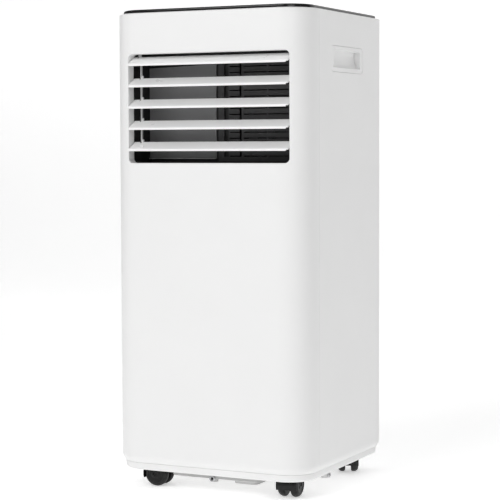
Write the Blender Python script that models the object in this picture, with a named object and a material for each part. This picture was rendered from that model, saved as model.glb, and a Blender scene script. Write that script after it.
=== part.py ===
"""Portable air conditioner: case, louvred outlet, two fan sets, refrigerant circuit and casters.

Metres, +Z up, +X to the right seen from the front, +Y to the back. The origin is on the floor
under the middle of the case. Every object is one separate piece of the machine.
"""
import math

import bmesh
import bpy
from mathutils import Matrix, Vector

# Case
WIDTH = 0.298
DEPTH = 0.267
COVER_BOTTOM = 0.035
COVER_TOP = 0.655
TOTAL_HEIGHT = 0.660
FRONT_RADIUS = 0.044
REAR_RADIUS = 0.006
SMALLEST_RADIUS = 0.0008
WALL = 0.0025
GAP = 0.0003
SEAM_Y = -DEPTH / 2 + 0.045
LID_INSET = 0.0060
RIM_INSET = 0.0057
COVER_PROFILE = (
    (0.0350, 0.0042), (0.0368, 0.0026), (0.0400, 0.0011), (0.0435, 0.0003), (0.0470, 0.0),
    (0.6525, 0.0), (0.6543, 0.0007), (0.6550, 0.0025),
)
BACK = DEPTH / 2
FRONT = -DEPTH / 2

# Air outlet and louvers
OUTLET_LEFT = -0.1180
OUTLET_RIGHT = 0.1236
OUTLET_BOTTOM = 0.4506
OUTLET_TOP = 0.5991
OUTLET_RADIUS = 0.0062
JAMB_BACK = FRONT + 0.0171
BLADE_COUNT = 5
BLADE_PITCH = 0.02908
TOP_BLADE_EDGE_Z = 0.5831
BLADE_PIVOT_Y = -0.1240
BLADE_PIVOT_RISE = 0.0066
BLADE_END_GAP = 0.0010
PIN_RADIUS = 0.0012
PIN_REACH = 0.0018
LINK_X = -0.1070
LINK_PIN = (0.0104, 0.0082)
LINK_PIN_RADIUS = 0.0007
LINK_WIDTH = 0.0020
LINK_DEPTH = 0.0034
LINK_TOP_SHIFT = -0.0028

# Duct behind the louvers
DUCT_BACK = -0.0665
DUCT_WALL = 0.0020
GUARD_PITCH = 0.0084
GUARD_BAR = 0.0066
PANEL_X = (OUTLET_LEFT - 0.0004, -0.0135)

# Fan centres: x, z
EVAPORATOR_FAN = (-0.046, 0.490)
CONDENSER_FAN = (0.050, 0.148)
SPLASH_FAN = (-0.088, 0.084)
EXHAUST_X = 0.0
EXHAUST_Z = 0.275
EXHAUST_RADIUS = 0.058
EXHAUST_POCKET_RADIUS = 0.070
EXHAUST_POCKET_DEPTH = 0.010
COLLAR_WALL = 0.0040

# Scrolls: wall, inlet radii and the hole round each motor shaft
SCROLL_WALL = 0.0020
EVAPORATOR_INLET = 0.046
CONDENSER_INLET = 0.048
SHAFT_HOLE = 0.020

# Grip recesses in the sides
GRIP_Y = (-0.049, 0.065)
GRIP_Z = (0.5735, 0.6085)
GRIP_MOUTH_Y = (-0.040, 0.054)
GRIP_MOUTH_Z = (0.5795, 0.603)
GRIP_DEPTH = 0.012
GRIP_STRAIGHT = 0.004
GRIP_CORNER = 0.008

# Back openings
DOOR_HALF_WIDTH = 0.1120
DOOR_Z = (0.4055, 0.5995)
VENT_HALF_WIDTH = 0.1080
VENT_Z = (0.0740, 0.1960)
UPPER_DRAIN = (0.112, 0.374)
LOWER_DRAIN = (0.090, 0.0590)
UPPER_DRAIN_POCKET = 0.011
LOWER_DRAIN_POCKET = 0.009
DRAIN_POCKET_DEPTH = 0.006
GLAND = (-0.127, 0.090)
GLAND_HOLE = 0.0060
GRILLE_BAR = 0.0048

# Chassis
BASE_FLOOR = 0.0435
COMPRESSOR = (-0.062, -0.055)
FOOT_RADIUS = 0.0110
SOCKET_BORE = 0.0055 + GAP
BOSS_RADIUS = 0.0060
BOSSES = ((0.0010, -0.1110), (0.1280, -0.0220))

# Casters: swivel x, swivel y, heading of the trail in degrees
CASTERS = {
    "front_left": (-0.0945, -0.0985, 0.0),
    "front_right": (0.1092, -0.0985, 94.0),
    "rear_left": (-0.0945, 0.0985, 160.0),
    "rear_right": (0.1125, 0.0985, 115.0),
}
CASTER_TRAIL = 0.004
WHEEL_RADIUS = 0.0175
WHEEL_INNER = 0.0042
WHEEL_OUTER = 0.0148
AXLE_RADIUS = 0.0026
HOOD_RADIUS = 0.0190
HOOD_THICKNESS = 0.0013

# Buttons: name and x on the top panel
BUTTONS = {
    "power_button": -0.090, "mode_button": -0.066, "fan_button": -0.042,
    "timer_button": 0.042, "up_button": 0.066, "down_button": 0.090,
}
BUTTON_Y = -0.098
BUTTON_RADIUS = 0.0060
PANEL_FLOOR = 0.6590
PANEL_HALF = (0.108, 0.013)
WINDOW_HALF = (0.0265, 0.0095)
WINDOW_DEPTH = 0.0016
BEYOND = 0.2

MATERIALS = {
    "case_white": ((0.86, 0.86, 0.855), 0.38, 0.0),
    "base_white": ((0.80, 0.80, 0.795), 0.45, 0.0),
    "lid_black": ((0.012, 0.012, 0.013), 0.12, 0.0),
    "display_black": ((0.006, 0.006, 0.008), 0.06, 0.0),
    "duct_black": ((0.012, 0.012, 0.012), 0.50, 0.0),
    "panel_grey": ((0.085, 0.085, 0.088), 0.42, 0.0),
    "caster_black": ((0.018, 0.018, 0.018), 0.45, 0.0),
    "fan_black": ((0.03, 0.03, 0.032), 0.50, 0.0),
    "foam_white": ((0.80, 0.80, 0.80), 0.75, 0.0),
    "steel": ((0.55, 0.55, 0.56), 0.35, 1.0),
    "compressor_black": ((0.02, 0.02, 0.02), 0.35, 0.0),
    "copper": ((0.72, 0.38, 0.22), 0.30, 1.0),
    "fin_aluminium": ((0.75, 0.76, 0.78), 0.35, 1.0),
    "board_green": ((0.03, 0.16, 0.07), 0.45, 0.0),
    "button_grey": ((0.045, 0.045, 0.048), 0.35, 0.0),
    "rubber_black": ((0.02, 0.02, 0.02), 0.70, 0.0),
    "filter_mesh": ((0.10, 0.10, 0.11), 0.80, 0.0),
}


# Shape helpers

def object_from(bm):
    """Turn a bmesh into a scene object with its faces pointing out."""
    bmesh.ops.recalc_face_normals(bm, faces=bm.faces[:])
    mesh = bpy.data.meshes.new("shape")
    bm.to_mesh(mesh)
    bm.free()
    shape = bpy.data.objects.new("shape", mesh)
    bpy.context.scene.collection.objects.link(shape)
    return shape


def loft(rings):
    """Closed solid through rings of equal length, capped at both ends."""
    bm = bmesh.new()
    layers = [[bm.verts.new(point) for point in ring] for ring in rings]
    count = len(layers[0])
    for lower, upper in zip(layers, layers[1:]):
        for i in range(count):
            j = (i + 1) % count
            bm.faces.new((lower[i], lower[j], upper[j], upper[i]))
    bm.faces.new(list(reversed(layers[0])))
    bm.faces.new(layers[-1])
    return object_from(bm)


def lift(point, axis, height):
    """Place a 2-D point at a height along one axis: x takes (y, z), y takes (x, z), z takes (x, y)."""
    a, b = point
    return {"x": (height, a, b), "y": (a, height, b), "z": (a, b, height)}[axis]


def prism(outline, axis, low, high):
    return loft([[lift(point, axis, height) for point in outline] for height in (low, high)])


def box(low, high):
    outline = ((low[0], low[1]), (high[0], low[1]), (high[0], high[1]), (low[0], high[1]))
    return prism(outline, "z", low[2], high[2])


def rounded_rectangle(low, high, radius, steps=4):
    """Corner points of a rectangle with round corners, counter-clockwise."""
    points = []
    centres = (
        (high[0] - radius, low[1] + radius, -90), (high[0] - radius, high[1] - radius, 0),
        (low[0] + radius, high[1] - radius, 90), (low[0] + radius, low[1] + radius, 180),
    )
    for x, y, start in centres:
        for i in range(steps + 1):
            angle = math.radians(start + 90 * i / steps)
            points.append((x + radius * math.cos(angle), y + radius * math.sin(angle)))
    return points


def circle(centre, radius, steps=24):
    turn = 2 * math.pi / steps
    return [(centre[0] + radius * math.cos(i * turn), centre[1] + radius * math.sin(i * turn))
            for i in range(steps)]


def cylinder(axis, centre, radius, low, high, steps=24):
    return prism(circle(centre, radius, steps), axis, low, high)


def turned(profile, axis, centre, steps=24):
    """Solid of revolution of a closed profile of (radius, height) about an axis through centre."""
    bm = bmesh.new()
    columns = []
    for step in range(steps):
        angle = 2 * math.pi * step / steps
        column = []
        for i, (radius, height) in enumerate(profile):
            if radius == 0 and columns:
                column.append(columns[0][i])
                continue
            flat = (centre[0] + radius * math.cos(angle), centre[1] + radius * math.sin(angle))
            column.append(bm.verts.new(lift(flat, axis, height)))
        columns.append(column)
    for this, following in zip(columns, columns[1:] + columns[:1]):
        for i in range(len(profile)):
            j = (i + 1) % len(profile)
            corners = []
            for vert in (this[i], following[i], following[j], this[j]):
                if vert not in corners:
                    corners.append(vert)
            if len(corners) > 2:
                bm.faces.new(corners)
    return object_from(bm)


def tube(points, radius, bevel_resolution=2):
    """Round pipe with closed ends along a list of points."""
    curve = bpy.data.curves.new("path", "CURVE")
    curve.dimensions = "3D"
    curve.bevel_depth = radius
    curve.bevel_resolution = bevel_resolution
    curve.use_fill_caps = True
    spline = curve.splines.new("POLY")
    spline.points.add(len(points) - 1)
    for place, point in zip(spline.points, points):
        place.co = (*point, 1.0)
    guide = bpy.data.objects.new("path", curve)
    bpy.context.scene.collection.objects.link(guide)
    mesh = bpy.data.meshes.new_from_object(guide)
    bpy.data.objects.remove(guide)
    bm = bmesh.new()
    bm.from_mesh(mesh)
    bmesh.ops.remove_doubles(bm, verts=bm.verts[:], dist=1e-6)
    return object_from(bm)


def smooth_path(corners, radius, steps=4):
    """Polyline through corner points with each inner corner rounded to a radius."""
    corners = [Vector(corner) for corner in corners]
    path = [corners[0]]
    for before, corner, after in zip(corners, corners[1:], corners[2:]):
        to_before = (before - corner).normalized()
        to_after = (after - corner).normalized()
        half = to_before.angle(to_after) / 2
        trim = radius / math.tan(half)
        start = corner + to_before * trim
        end = corner + to_after * trim
        centre = corner + (to_before + to_after).normalized() * (radius / math.sin(half))
        for i in range(steps + 1):
            spoke = (start - centre).normalized().slerp((end - centre).normalized(), i / steps)
            path.append(centre + spoke.normalized() * radius)
    path.append(corners[-1])
    return path


def grid_plate(x_lines, z_lines, is_open, y_low, y_high):
    """Flat plate cut into cells, with the open cells left out."""
    bm = bmesh.new()
    verts = {}

    def vert(i, j, y):
        key = (i, j, y)
        if key not in verts:
            verts[key] = bm.verts.new((x_lines[i], y, z_lines[j]))
        return verts[key]

    columns, rows = len(x_lines) - 1, len(z_lines) - 1

    def solid(i, j):
        return 0 <= i < columns and 0 <= j < rows and not is_open(i, j)

    for i in range(columns):
        for j in range(rows):
            if not solid(i, j):
                continue
            corners = ((i, j), (i + 1, j), (i + 1, j + 1), (i, j + 1))
            bm.faces.new([vert(a, b, y_low) for a, b in corners])
            bm.faces.new([vert(a, b, y_high) for a, b in reversed(corners)])
            neighbours = ((i, j - 1), (i + 1, j), (i, j + 1), (i - 1, j))
            for side, (a, b) in enumerate(neighbours):
                if not solid(a, b):
                    start, end = corners[side], corners[(side + 1) % 4]
                    bm.faces.new((vert(*end, y_low), vert(*start, y_low),
                                  vert(*start, y_high), vert(*end, y_high)))
    return object_from(bm)


def bars(low, high, count, bar):
    """Line positions that split a span into bars of one width with openings between them."""
    opening = (high - low - (count + 1) * bar) / count
    lines = [low]
    for i in range(count):
        lines.append(low + bar + i * (bar + opening))
        lines.append(lines[-1] + opening)
    lines.append(high)
    return lines


def combine(target, others, operation):
    """Apply a Boolean with each of the other shapes and remove them."""
    for other in others:
        modifier = target.modifiers.new(operation.lower(), "BOOLEAN")
        modifier.operation = operation
        modifier.object = other
    graph = bpy.context.evaluated_depsgraph_get()
    mesh = bpy.data.meshes.new_from_object(target.evaluated_get(graph))
    target.modifiers.clear()
    target.data = mesh
    for other in others:
        bpy.data.objects.remove(other)
    return target


def cut(target, *others):
    return combine(target, others, "DIFFERENCE")


def join(target, *others):
    return combine(target, others, "UNION")


def common(target, *others):
    return combine(target, others, "INTERSECT")


def moved(shape, matrix):
    shape.data.transform(matrix)
    return shape


def material(slot):
    colour, roughness, metallic = MATERIALS[slot]
    found = bpy.data.materials.get(slot)
    if found:
        return found
    made = bpy.data.materials.new(slot)
    made.use_nodes = True
    shader = made.node_tree.nodes["Principled BSDF"]
    shader.inputs["Base Color"].default_value = (*colour, 1.0)
    shader.inputs["Roughness"].default_value = roughness
    shader.inputs["Metallic"].default_value = metallic
    made.diffuse_color = (*colour, 1.0)
    return made


def finish(name, shape, slot, origin=(0.0, 0.0, 0.0)):
    """Name a piece, give it its material and put its origin where it turns or rests."""
    shape.name = name
    shape.data.name = name
    shape.data.transform(Matrix.Translation(-Vector(origin)))
    shape.location = origin
    shape.data.materials.clear()
    shape.data.materials.append(material(slot))
    shape.data.shade_smooth()
    shape.data.set_sharp_from_angle(angle=math.radians(35))
    return shape


# Case

def case_outline(inset, front_steps=9, rear_steps=2):
    """Plan outline of the case, pulled in by an inset: large front corners, small rear ones."""
    half_width, half_depth = WIDTH / 2 - inset, DEPTH / 2 - inset
    front = max(FRONT_RADIUS - inset, SMALLEST_RADIUS)
    rear = max(REAR_RADIUS - inset, SMALLEST_RADIUS)
    corners = (
        (half_width - front, -half_depth + front, front, -90, front_steps),
        (half_width - rear, half_depth - rear, rear, 0, rear_steps),
        (-half_width + rear, half_depth - rear, rear, 90, rear_steps),
        (-half_width + front, -half_depth + front, front, 180, front_steps),
    )
    points = []
    for x, y, radius, start, steps in corners:
        for i in range(steps + 1):
            angle = math.radians(start + 90 * i / steps)
            points.append((x + radius * math.cos(angle), y + radius * math.sin(angle)))
    return points


def case_prism(inset, low, high):
    return prism(case_outline(inset), "z", low, high)


def case_solid():
    return loft([[(x, y, z) for x, y in case_outline(inset)] for z, inset in COVER_PROFILE])


def case_shell():
    """The whole hollow case: open below, with a rim round the top panel."""
    bottom_inset = COVER_PROFILE[0][1] + WALL
    hollow = [(COVER_BOTTOM - 0.005, bottom_inset)]
    hollow += [(z, inset + WALL) for z, inset in COVER_PROFILE[:5]]
    hollow.append((COVER_TOP - WALL, WALL))
    inner = loft([[(x, y, z) for x, y in case_outline(inset)] for z, inset in hollow])
    top_hole = case_prism(RIM_INSET, COVER_TOP - 2 * WALL, COVER_TOP + WALL)
    return cut(case_solid(), inner, top_hole)


def outlet_prism(margin, low, high):
    outline = rounded_rectangle((OUTLET_LEFT - margin, OUTLET_BOTTOM - margin),
                                (OUTLET_RIGHT + margin, OUTLET_TOP + margin), OUTLET_RADIUS + margin)
    return prism(outline, "y", low, high)


def blade_pivot(index):
    """y and z of a blade's pivot, counted from the top blade."""
    return BLADE_PIVOT_Y, TOP_BLADE_EDGE_Z + BLADE_PIVOT_RISE - index * BLADE_PITCH


def build_front_cover():
    """Front of the case, and the frame behind its outlet that carries the louver pins."""
    front_space = box((-BEYOND, -BEYOND, 0.0), (BEYOND, SEAM_Y - GAP / 2, 1.0))
    cover = common(case_shell(), front_space)
    cover = cut(cover, outlet_prism(0.0, FRONT - 0.02, JAMB_BACK + 0.01))
    finish("front_cover", cover, "case_white")

    behind_wall = case_prism(WALL + GAP, OUTLET_BOTTOM - 0.02, OUTLET_TOP + 0.02)
    frame = common(outlet_prism(WALL, FRONT, JAMB_BACK), behind_wall)
    frame = cut(frame, outlet_prism(0.0, FRONT - 0.02, JAMB_BACK + 0.01))
    socket_depth = WALL - 0.0002
    sockets = [cylinder("x", blade_pivot(i), PIN_RADIUS + GAP, OUTLET_LEFT - socket_depth,
                        OUTLET_RIGHT + socket_depth, 8) for i in range(BLADE_COUNT)]
    finish("outlet_frame", cut(frame, *sockets), "case_white")


def pocket_boss(x, z, radius, depth):
    """Round block behind the back wall that a pocket is sunk into."""
    return cylinder("y", (x, z), radius + WALL, BACK - depth - WALL, BACK - WALL / 2, 32)


def build_rear_cover():
    rear_space = box((-BEYOND, SEAM_Y + GAP / 2, 0.0), (BEYOND, BEYOND, 1.0))
    cover = common(case_shell(), rear_space)
    exhaust = (EXHAUST_X, EXHAUST_Z)
    cover = join(cover, pocket_boss(*exhaust, EXHAUST_POCKET_RADIUS, EXHAUST_POCKET_DEPTH))
    cover = join(cover, pocket_boss(*UPPER_DRAIN, UPPER_DRAIN_POCKET, DRAIN_POCKET_DEPTH))
    cover = join(cover, pocket_boss(*LOWER_DRAIN, LOWER_DRAIN_POCKET, DRAIN_POCKET_DEPTH))
    outside, inside = BACK + 0.01, BACK - 0.03
    openings = [
        cylinder("y", exhaust, EXHAUST_POCKET_RADIUS, BACK - EXHAUST_POCKET_DEPTH, outside, 40),
        cylinder("y", exhaust, EXHAUST_RADIUS + COLLAR_WALL + 0.0005, inside, outside, 40),
        cylinder("y", UPPER_DRAIN, UPPER_DRAIN_POCKET, BACK - DRAIN_POCKET_DEPTH, outside, 20),
        cylinder("y", UPPER_DRAIN, 0.0050, inside, outside, 16),
        cylinder("y", LOWER_DRAIN, LOWER_DRAIN_POCKET, BACK - DRAIN_POCKET_DEPTH, outside, 20),
        cylinder("y", LOWER_DRAIN, 0.0042, inside, outside, 16),
        cylinder("y", GLAND, GLAND_HOLE, inside, outside, 16),
        box((-DOOR_HALF_WIDTH - 2 * GAP, inside, DOOR_Z[0] - 2 * GAP),
            (DOOR_HALF_WIDTH + 2 * GAP, outside, DOOR_Z[1] + 2 * GAP)),
        box((-VENT_HALF_WIDTH - GAP, inside, VENT_Z[0] - GAP),
            (VENT_HALF_WIDTH + GAP, outside, VENT_Z[1] + GAP)),
    ]
    for side in (-1, 1):
        grip = rounded_rectangle((GRIP_Y[0] - GAP, GRIP_Z[0] - GAP),
                                 (GRIP_Y[1] + GAP, GRIP_Z[1] + GAP), GRIP_CORNER)
        openings.append(prism(grip, "x", *sorted((side * 0.14, side * 0.16))))
    cover = cut(cover, *openings)
    finish("rear_cover", cover, "case_white")


def build_grips():
    """Side grip: a flat flange round a scooped cup that is deepest under its top edge."""
    outer_x = WIDTH / 2 - 0.0002
    deep_x = outer_x - GRIP_DEPTH
    scoop_steps = 6
    for side, name in ((-1, "handle_left"), (1, "handle_right")):
        outline = rounded_rectangle((GRIP_Y[0], GRIP_Z[0]), (GRIP_Y[1], GRIP_Z[1]), GRIP_CORNER)
        flange = prism(outline, "x", *sorted((side * outer_x, side * (outer_x - WALL))))
        cup = box((min(side * (outer_x - 0.001), side * (deep_x - WALL)), GRIP_MOUTH_Y[0] - WALL,
                   GRIP_MOUTH_Z[0] - 0.004),
                  (max(side * (outer_x - 0.001), side * (deep_x - WALL)), GRIP_MOUTH_Y[1] + WALL,
                   GRIP_MOUTH_Z[1] + WALL))
        height = GRIP_MOUTH_Z[1] - GRIP_MOUTH_Z[0]
        profile = [(side * (outer_x + 0.01), GRIP_MOUTH_Z[1]), (side * deep_x, GRIP_MOUTH_Z[1])]
        for i in range(scoop_steps + 1):
            angle = math.radians(90 * i / scoop_steps)
            x = outer_x - GRIP_DEPTH * math.cos(angle)
            z = GRIP_MOUTH_Z[1] - GRIP_STRAIGHT - (height - GRIP_STRAIGHT) * math.sin(angle)
            profile.append((side * x, z))
        profile.append((side * (outer_x + 0.01), GRIP_MOUTH_Z[0]))
        scoop = prism(profile, "y", *GRIP_MOUTH_Y)
        finish(name, cut(join(flange, cup), scoop), "case_white")


# Top panel

def build_top_panel():
    lid_edge = ((0.6500, LID_INSET), (0.6575, LID_INSET), (0.6590, LID_INSET + 0.0004),
                (0.6598, LID_INSET + 0.0012), (TOTAL_HEIGHT, LID_INSET + 0.0024))
    lid = loft([[(x, y, z) for x, y in case_outline(inset)] for z, inset in lid_edge])
    hollow = case_prism(LID_INSET + WALL, 0.640, 0.6560)
    above = TOTAL_HEIGHT + 0.01
    tray = prism(rounded_rectangle((-PANEL_HALF[0], BUTTON_Y - PANEL_HALF[1]),
                                   (PANEL_HALF[0], BUTTON_Y + PANEL_HALF[1]), 0.008),
                 "z", PANEL_FLOOR, above)
    window = prism(rounded_rectangle((-WINDOW_HALF[0], BUTTON_Y - WINDOW_HALF[1]),
                                     (WINDOW_HALF[0], BUTTON_Y + WINDOW_HALF[1]), 0.003),
                   "z", PANEL_FLOOR - WINDOW_DEPTH, above)
    holes = [cylinder("z", (x, BUTTON_Y), BUTTON_RADIUS + 2 * GAP, 0.64, above, 12)
             for x in BUTTONS.values()]
    finish("top_panel", cut(lid, hollow, tray, window, *holes), "lid_black")

    half_x, half_y = WINDOW_HALF[0] - GAP, WINDOW_HALF[1] - GAP
    lens = prism(rounded_rectangle((-half_x, BUTTON_Y - half_y), (half_x, BUTTON_Y + half_y), 0.003),
                 "z", PANEL_FLOOR - WINDOW_DEPTH + GAP, PANEL_FLOOR + 0.0002)
    finish("display_window", lens, "display_black")

    for name, x in BUTTONS.items():
        flange_top = 0.6560 - GAP
        profile = [(0, 0.6432), (0.0022, 0.6432), (0.0022, flange_top - 0.0015),
                   (BUTTON_RADIUS + 0.0016, flange_top - 0.0015), (BUTTON_RADIUS + 0.0016, flange_top),
                   (BUTTON_RADIUS, flange_top), (BUTTON_RADIUS, 0.6592), (BUTTON_RADIUS - 0.0006, 0.6598),
                   (0.0030, 0.65955), (0, 0.65945)]
        button = turned(profile, "z", (x, BUTTON_Y), 12)
        finish(name, button, "button_grey", (x, BUTTON_Y, TOTAL_HEIGHT))

    board = box((-0.104, BUTTON_Y - 0.019, 0.6390), (0.104, BUTTON_Y + 0.019, 0.6406))
    chips = [box((x - 0.004, BUTTON_Y - 0.004, 0.6400), (x + 0.004, BUTTON_Y + 0.004, 0.6420))
             for x in BUTTONS.values()]
    display = box((-0.024, BUTTON_Y - 0.008, 0.6400), (0.024, BUTTON_Y + 0.008, 0.6530))
    finish("control_board", join(board, display, *chips), "board_green")


# Louvers

def build_louvers():
    """Five blades with end pins, and the link that turns on an ear behind each blade."""
    section = ((-0.0086, -0.0066), (-0.0090, -0.0060), (-0.0090, -0.0040), (-0.0084, -0.0032),
               (0.0080, 0.0061), (0.0087, 0.0061), (0.0089, 0.0055), (0.0083, 0.0045),
               (-0.0062, -0.0048), (-0.0078, -0.0066))
    left, right = OUTLET_LEFT + BLADE_END_GAP, OUTLET_RIGHT - BLADE_END_GAP
    stub, half = BLADE_END_GAP + PIN_REACH, LINK_WIDTH / 2
    for index in range(BLADE_COUNT):
        y, z = blade_pivot(index)
        pin_x = LINK_X + (LINK_TOP_SHIFT if index == 0 else 0.0)
        pin_y, pin_z = y + LINK_PIN[0], z + LINK_PIN[1]
        ear_low = pin_x + half + GAP
        blade = prism([(y + a, z + b) for a, b in section], "x", left - 0.01, right + 0.01)
        blade = common(blade, outlet_prism(-BLADE_END_GAP, FRONT - 0.01, JAMB_BACK + 0.01))
        notch = box((pin_x - half - 2 * GAP, y + 0.0055, z - 0.02), (ear_low + GAP, y + 0.03, z + 0.02))
        blade = cut(blade, notch)
        ear = prism([(y + 0.0058, z + 0.0036), (y + 0.0082, z + 0.0050), (pin_y + 0.0012, pin_z - 0.0014),
                     (pin_y + 0.0017, pin_z), (pin_y + 0.0010, pin_z + 0.0014),
                     (pin_y - 0.0010, pin_z + 0.0014)], "x", ear_low, ear_low + 0.0014)
        link_pin = cylinder("x", (pin_y, pin_z), LINK_PIN_RADIUS, pin_x - half - GAP, ear_low + 0.0004, 8)
        end_pins = [cylinder("x", (y, z), PIN_RADIUS, left - stub, left + 0.0030, 8),
                    cylinder("x", (y, z), PIN_RADIUS, right - 0.0030, right + stub, 8)]
        blade = join(blade, *end_pins, ear, link_pin)
        finish(f"louver_blade_{index + 1}", blade, "case_white", (0.0, y, z))

    top_y, top_z = blade_pivot(0)
    low_z = blade_pivot(BLADE_COUNT - 1)[1] + LINK_PIN[1]
    pin_y, pin_z = top_y + LINK_PIN[0], top_z + LINK_PIN[1]
    end = 0.0020
    outline = [(LINK_X - half, low_z - end), (LINK_X + half, low_z - end),
               (LINK_X + half, pin_z - 0.0095), (LINK_X + half + LINK_TOP_SHIFT, pin_z - 0.0050),
               (LINK_X + half + LINK_TOP_SHIFT, pin_z + end), (LINK_X - half + LINK_TOP_SHIFT, pin_z + end),
               (LINK_X - half + LINK_TOP_SHIFT, pin_z - 0.0056), (LINK_X - half, pin_z - 0.0101)]
    link = prism(outline, "y", pin_y - LINK_DEPTH / 2, pin_y + LINK_DEPTH / 2)
    holes = [cylinder("x", (pin_y, pin_z - i * BLADE_PITCH), LINK_PIN_RADIUS + GAP,
                      LINK_X - 0.01, LINK_X + 0.01, 8) for i in range(BLADE_COUNT)]
    finish("louver_link", cut(link, *holes), "case_white", (LINK_X, pin_y, pin_z))


def duct_prism(margin, low, high):
    """The duct is wider than the outlet all round, and taller to clear the link at the top."""
    outline = rounded_rectangle((OUTLET_LEFT - 0.0010 - margin, OUTLET_BOTTOM - 0.0010 - margin),
                                (OUTLET_RIGHT + 0.0010 + margin, OUTLET_TOP + 0.0065 + margin),
                                0.005 + margin)
    return prism(outline, "y", low, high)


def build_duct():
    """Black duct behind the louvers, with a guard on the blowing side and a panel on the other."""
    front, back = JAMB_BACK + 2 * GAP, DUCT_BACK
    duct = duct_prism(DUCT_WALL, front, back)
    inner = duct_prism(0.0, front - 0.01, back - DUCT_WALL)
    window = box((0.006, back - 0.01, OUTLET_BOTTOM + 0.004), (0.119, back + 0.01, OUTLET_TOP - 0.004))
    finish("outlet_duct", cut(duct, inner, window), "duct_black")

    guard_back = back - DUCT_WALL - GAP
    x_lines = [-0.0096, -0.0010, 0.0058, 0.0070, 0.0226, 0.0257, 0.0287, 0.0640, 0.0660, 0.1190, 0.1225]
    slatted, clear = (3, 6, 8), (1, 4)
    rows = int((OUTLET_TOP - OUTLET_BOTTOM - 0.004) / GUARD_PITCH)
    z_lines = bars(OUTLET_BOTTOM + 0.0015, OUTLET_TOP - 0.0015, rows, GUARD_BAR)
    last = len(z_lines) - 2

    def is_open(i, j):
        return (i in slatted and j % 2 == 1) or (i in clear and 0 < j < last)

    guard = grid_plate(x_lines, z_lines, is_open, guard_back - 0.0030, guard_back)
    finish("outlet_guard", guard, "duct_black")

    low, high = OUTLET_BOTTOM + 0.0050, OUTLET_TOP - 0.0170
    outline = [(PANEL_X[0], low), (PANEL_X[1], low), (PANEL_X[1], high + 0.0040), (PANEL_X[0], high)]
    panel = prism(outline, "y", guard_back - 0.0020, guard_back)
    lip = box((PANEL_X[0], guard_back - 0.0040, low), (PANEL_X[1], guard_back - 0.0010, low + 0.0012))
    finish("duct_panel", join(panel, lip), "panel_grey")


# Fans

def spiral(centre, start_angle, start_radius, end_radius, steps=24):
    """Outline of a scroll whose radius grows steadily through one turn."""
    points = []
    for i in range(steps + 1):
        share = i / steps
        angle = math.radians(start_angle) + 2 * math.pi * share
        radius = start_radius + (end_radius - start_radius) * share
        points.append((centre[0] + radius * math.cos(angle), centre[1] + radius * math.sin(angle)))
    return points


def fan_wheel(centre, radius, y_low, y_high, blades):
    """Squirrel-cage wheel: back disc with a hub, a ring of blades and a front ring."""
    rim = 0.008
    disc = 0.0018
    hub = 0.009
    bore = 0.0026
    drum = turned([(bore, y_low), (radius, y_low), (radius, y_high), (radius - rim, y_high),
                   (radius - rim, y_low + disc), (hub, y_low + disc), (hub, y_low + 0.016),
                   (bore, y_low + 0.016)], "y", centre, 2 * blades)
    bm = bmesh.new()
    slot_low, slot_high = y_low + 2 * disc, y_high - 0.004
    for i in range(blades):
        turn = Matrix.Rotation(2 * math.pi * (i + 0.25) / blades, 4, "Y")
        half = 0.30 * 2 * math.pi * radius / blades
        ends = ((radius - 2 * rim, -half), (radius + rim, -half), (radius + rim, half),
                (radius - 2 * rim, half))
        rings = []
        for y in (slot_low, slot_high):
            ring = [turn @ Vector((x, y, z)) + Vector((centre[0], 0, centre[1])) for x, z in ends]
            rings.append([bm.verts.new(point) for point in ring])
        for j in range(4):
            k = (j + 1) % 4
            bm.faces.new((rings[0][j], rings[0][k], rings[1][k], rings[1][j]))
        bm.faces.new(reversed(rings[0]))
        bm.faces.new(rings[1])
    return cut(drum, object_from(bm))


def motor(centre, radius, y_low, y_high, shaft_end):
    """Round motor with a stepped rim and its shaft towards +Y."""
    edge = 0.003
    shaft = 0.0023
    profile = [(0, y_low), (radius * 0.55, y_low), (radius - edge, y_low + edge), (radius, y_low + 2 * edge),
               (radius, y_high - 2 * edge), (radius - edge, y_high - edge), (radius * 0.45, y_high),
               (shaft, y_high), (shaft, shaft_end), (0, shaft_end)]
    return turned(profile, "y", centre, 18)


def build_evaporator_fan():
    x, z = EVAPORATOR_FAN
    scroll_low, scroll_high = 0.000, 0.074
    wall = SCROLL_WALL
    horn_low, horn_high = (-0.0010, OUTLET_BOTTOM + 0.001), (0.1215, OUTLET_TOP - 0.001)
    horn_front = DUCT_BACK + 2 * GAP
    scroll = prism(spiral((x, z), 4, 0.064, 0.075), "y", scroll_low, scroll_high)
    horn = box((horn_low[0], horn_front, horn_low[1]), (horn_high[0], scroll_high, horn_high[1]))
    inner = prism(spiral((x, z), 4, 0.064 - wall, 0.075 - wall), "y", scroll_low + wall, scroll_high - wall)
    horn_inner = box((horn_low[0] + wall, horn_front - 0.01, horn_low[1] + wall),
                     (horn_high[0] - wall, scroll_high - wall, horn_high[1] - wall))
    inlet = cylinder("y", (x, z), EVAPORATOR_INLET, scroll_high - 0.01, scroll_high + 0.01, 32)
    shaft_hole = cylinder("y", (x, z), SHAFT_HOLE, scroll_low - 0.01, scroll_low + 0.01, 20)
    scroll = cut(join(scroll, horn), join(inner, horn_inner), inlet, shaft_hole)
    finish("evaporator_scroll", scroll, "foam_white")
    wheel = fan_wheel((x, z), 0.058, 0.010, 0.066, 11)
    finish("evaporator_wheel", wheel, "fan_black", (x, 0.038, z))
    finish("evaporator_motor", motor((x, z), 0.038, -0.050, -0.002, 0.024), "steel")


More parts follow.
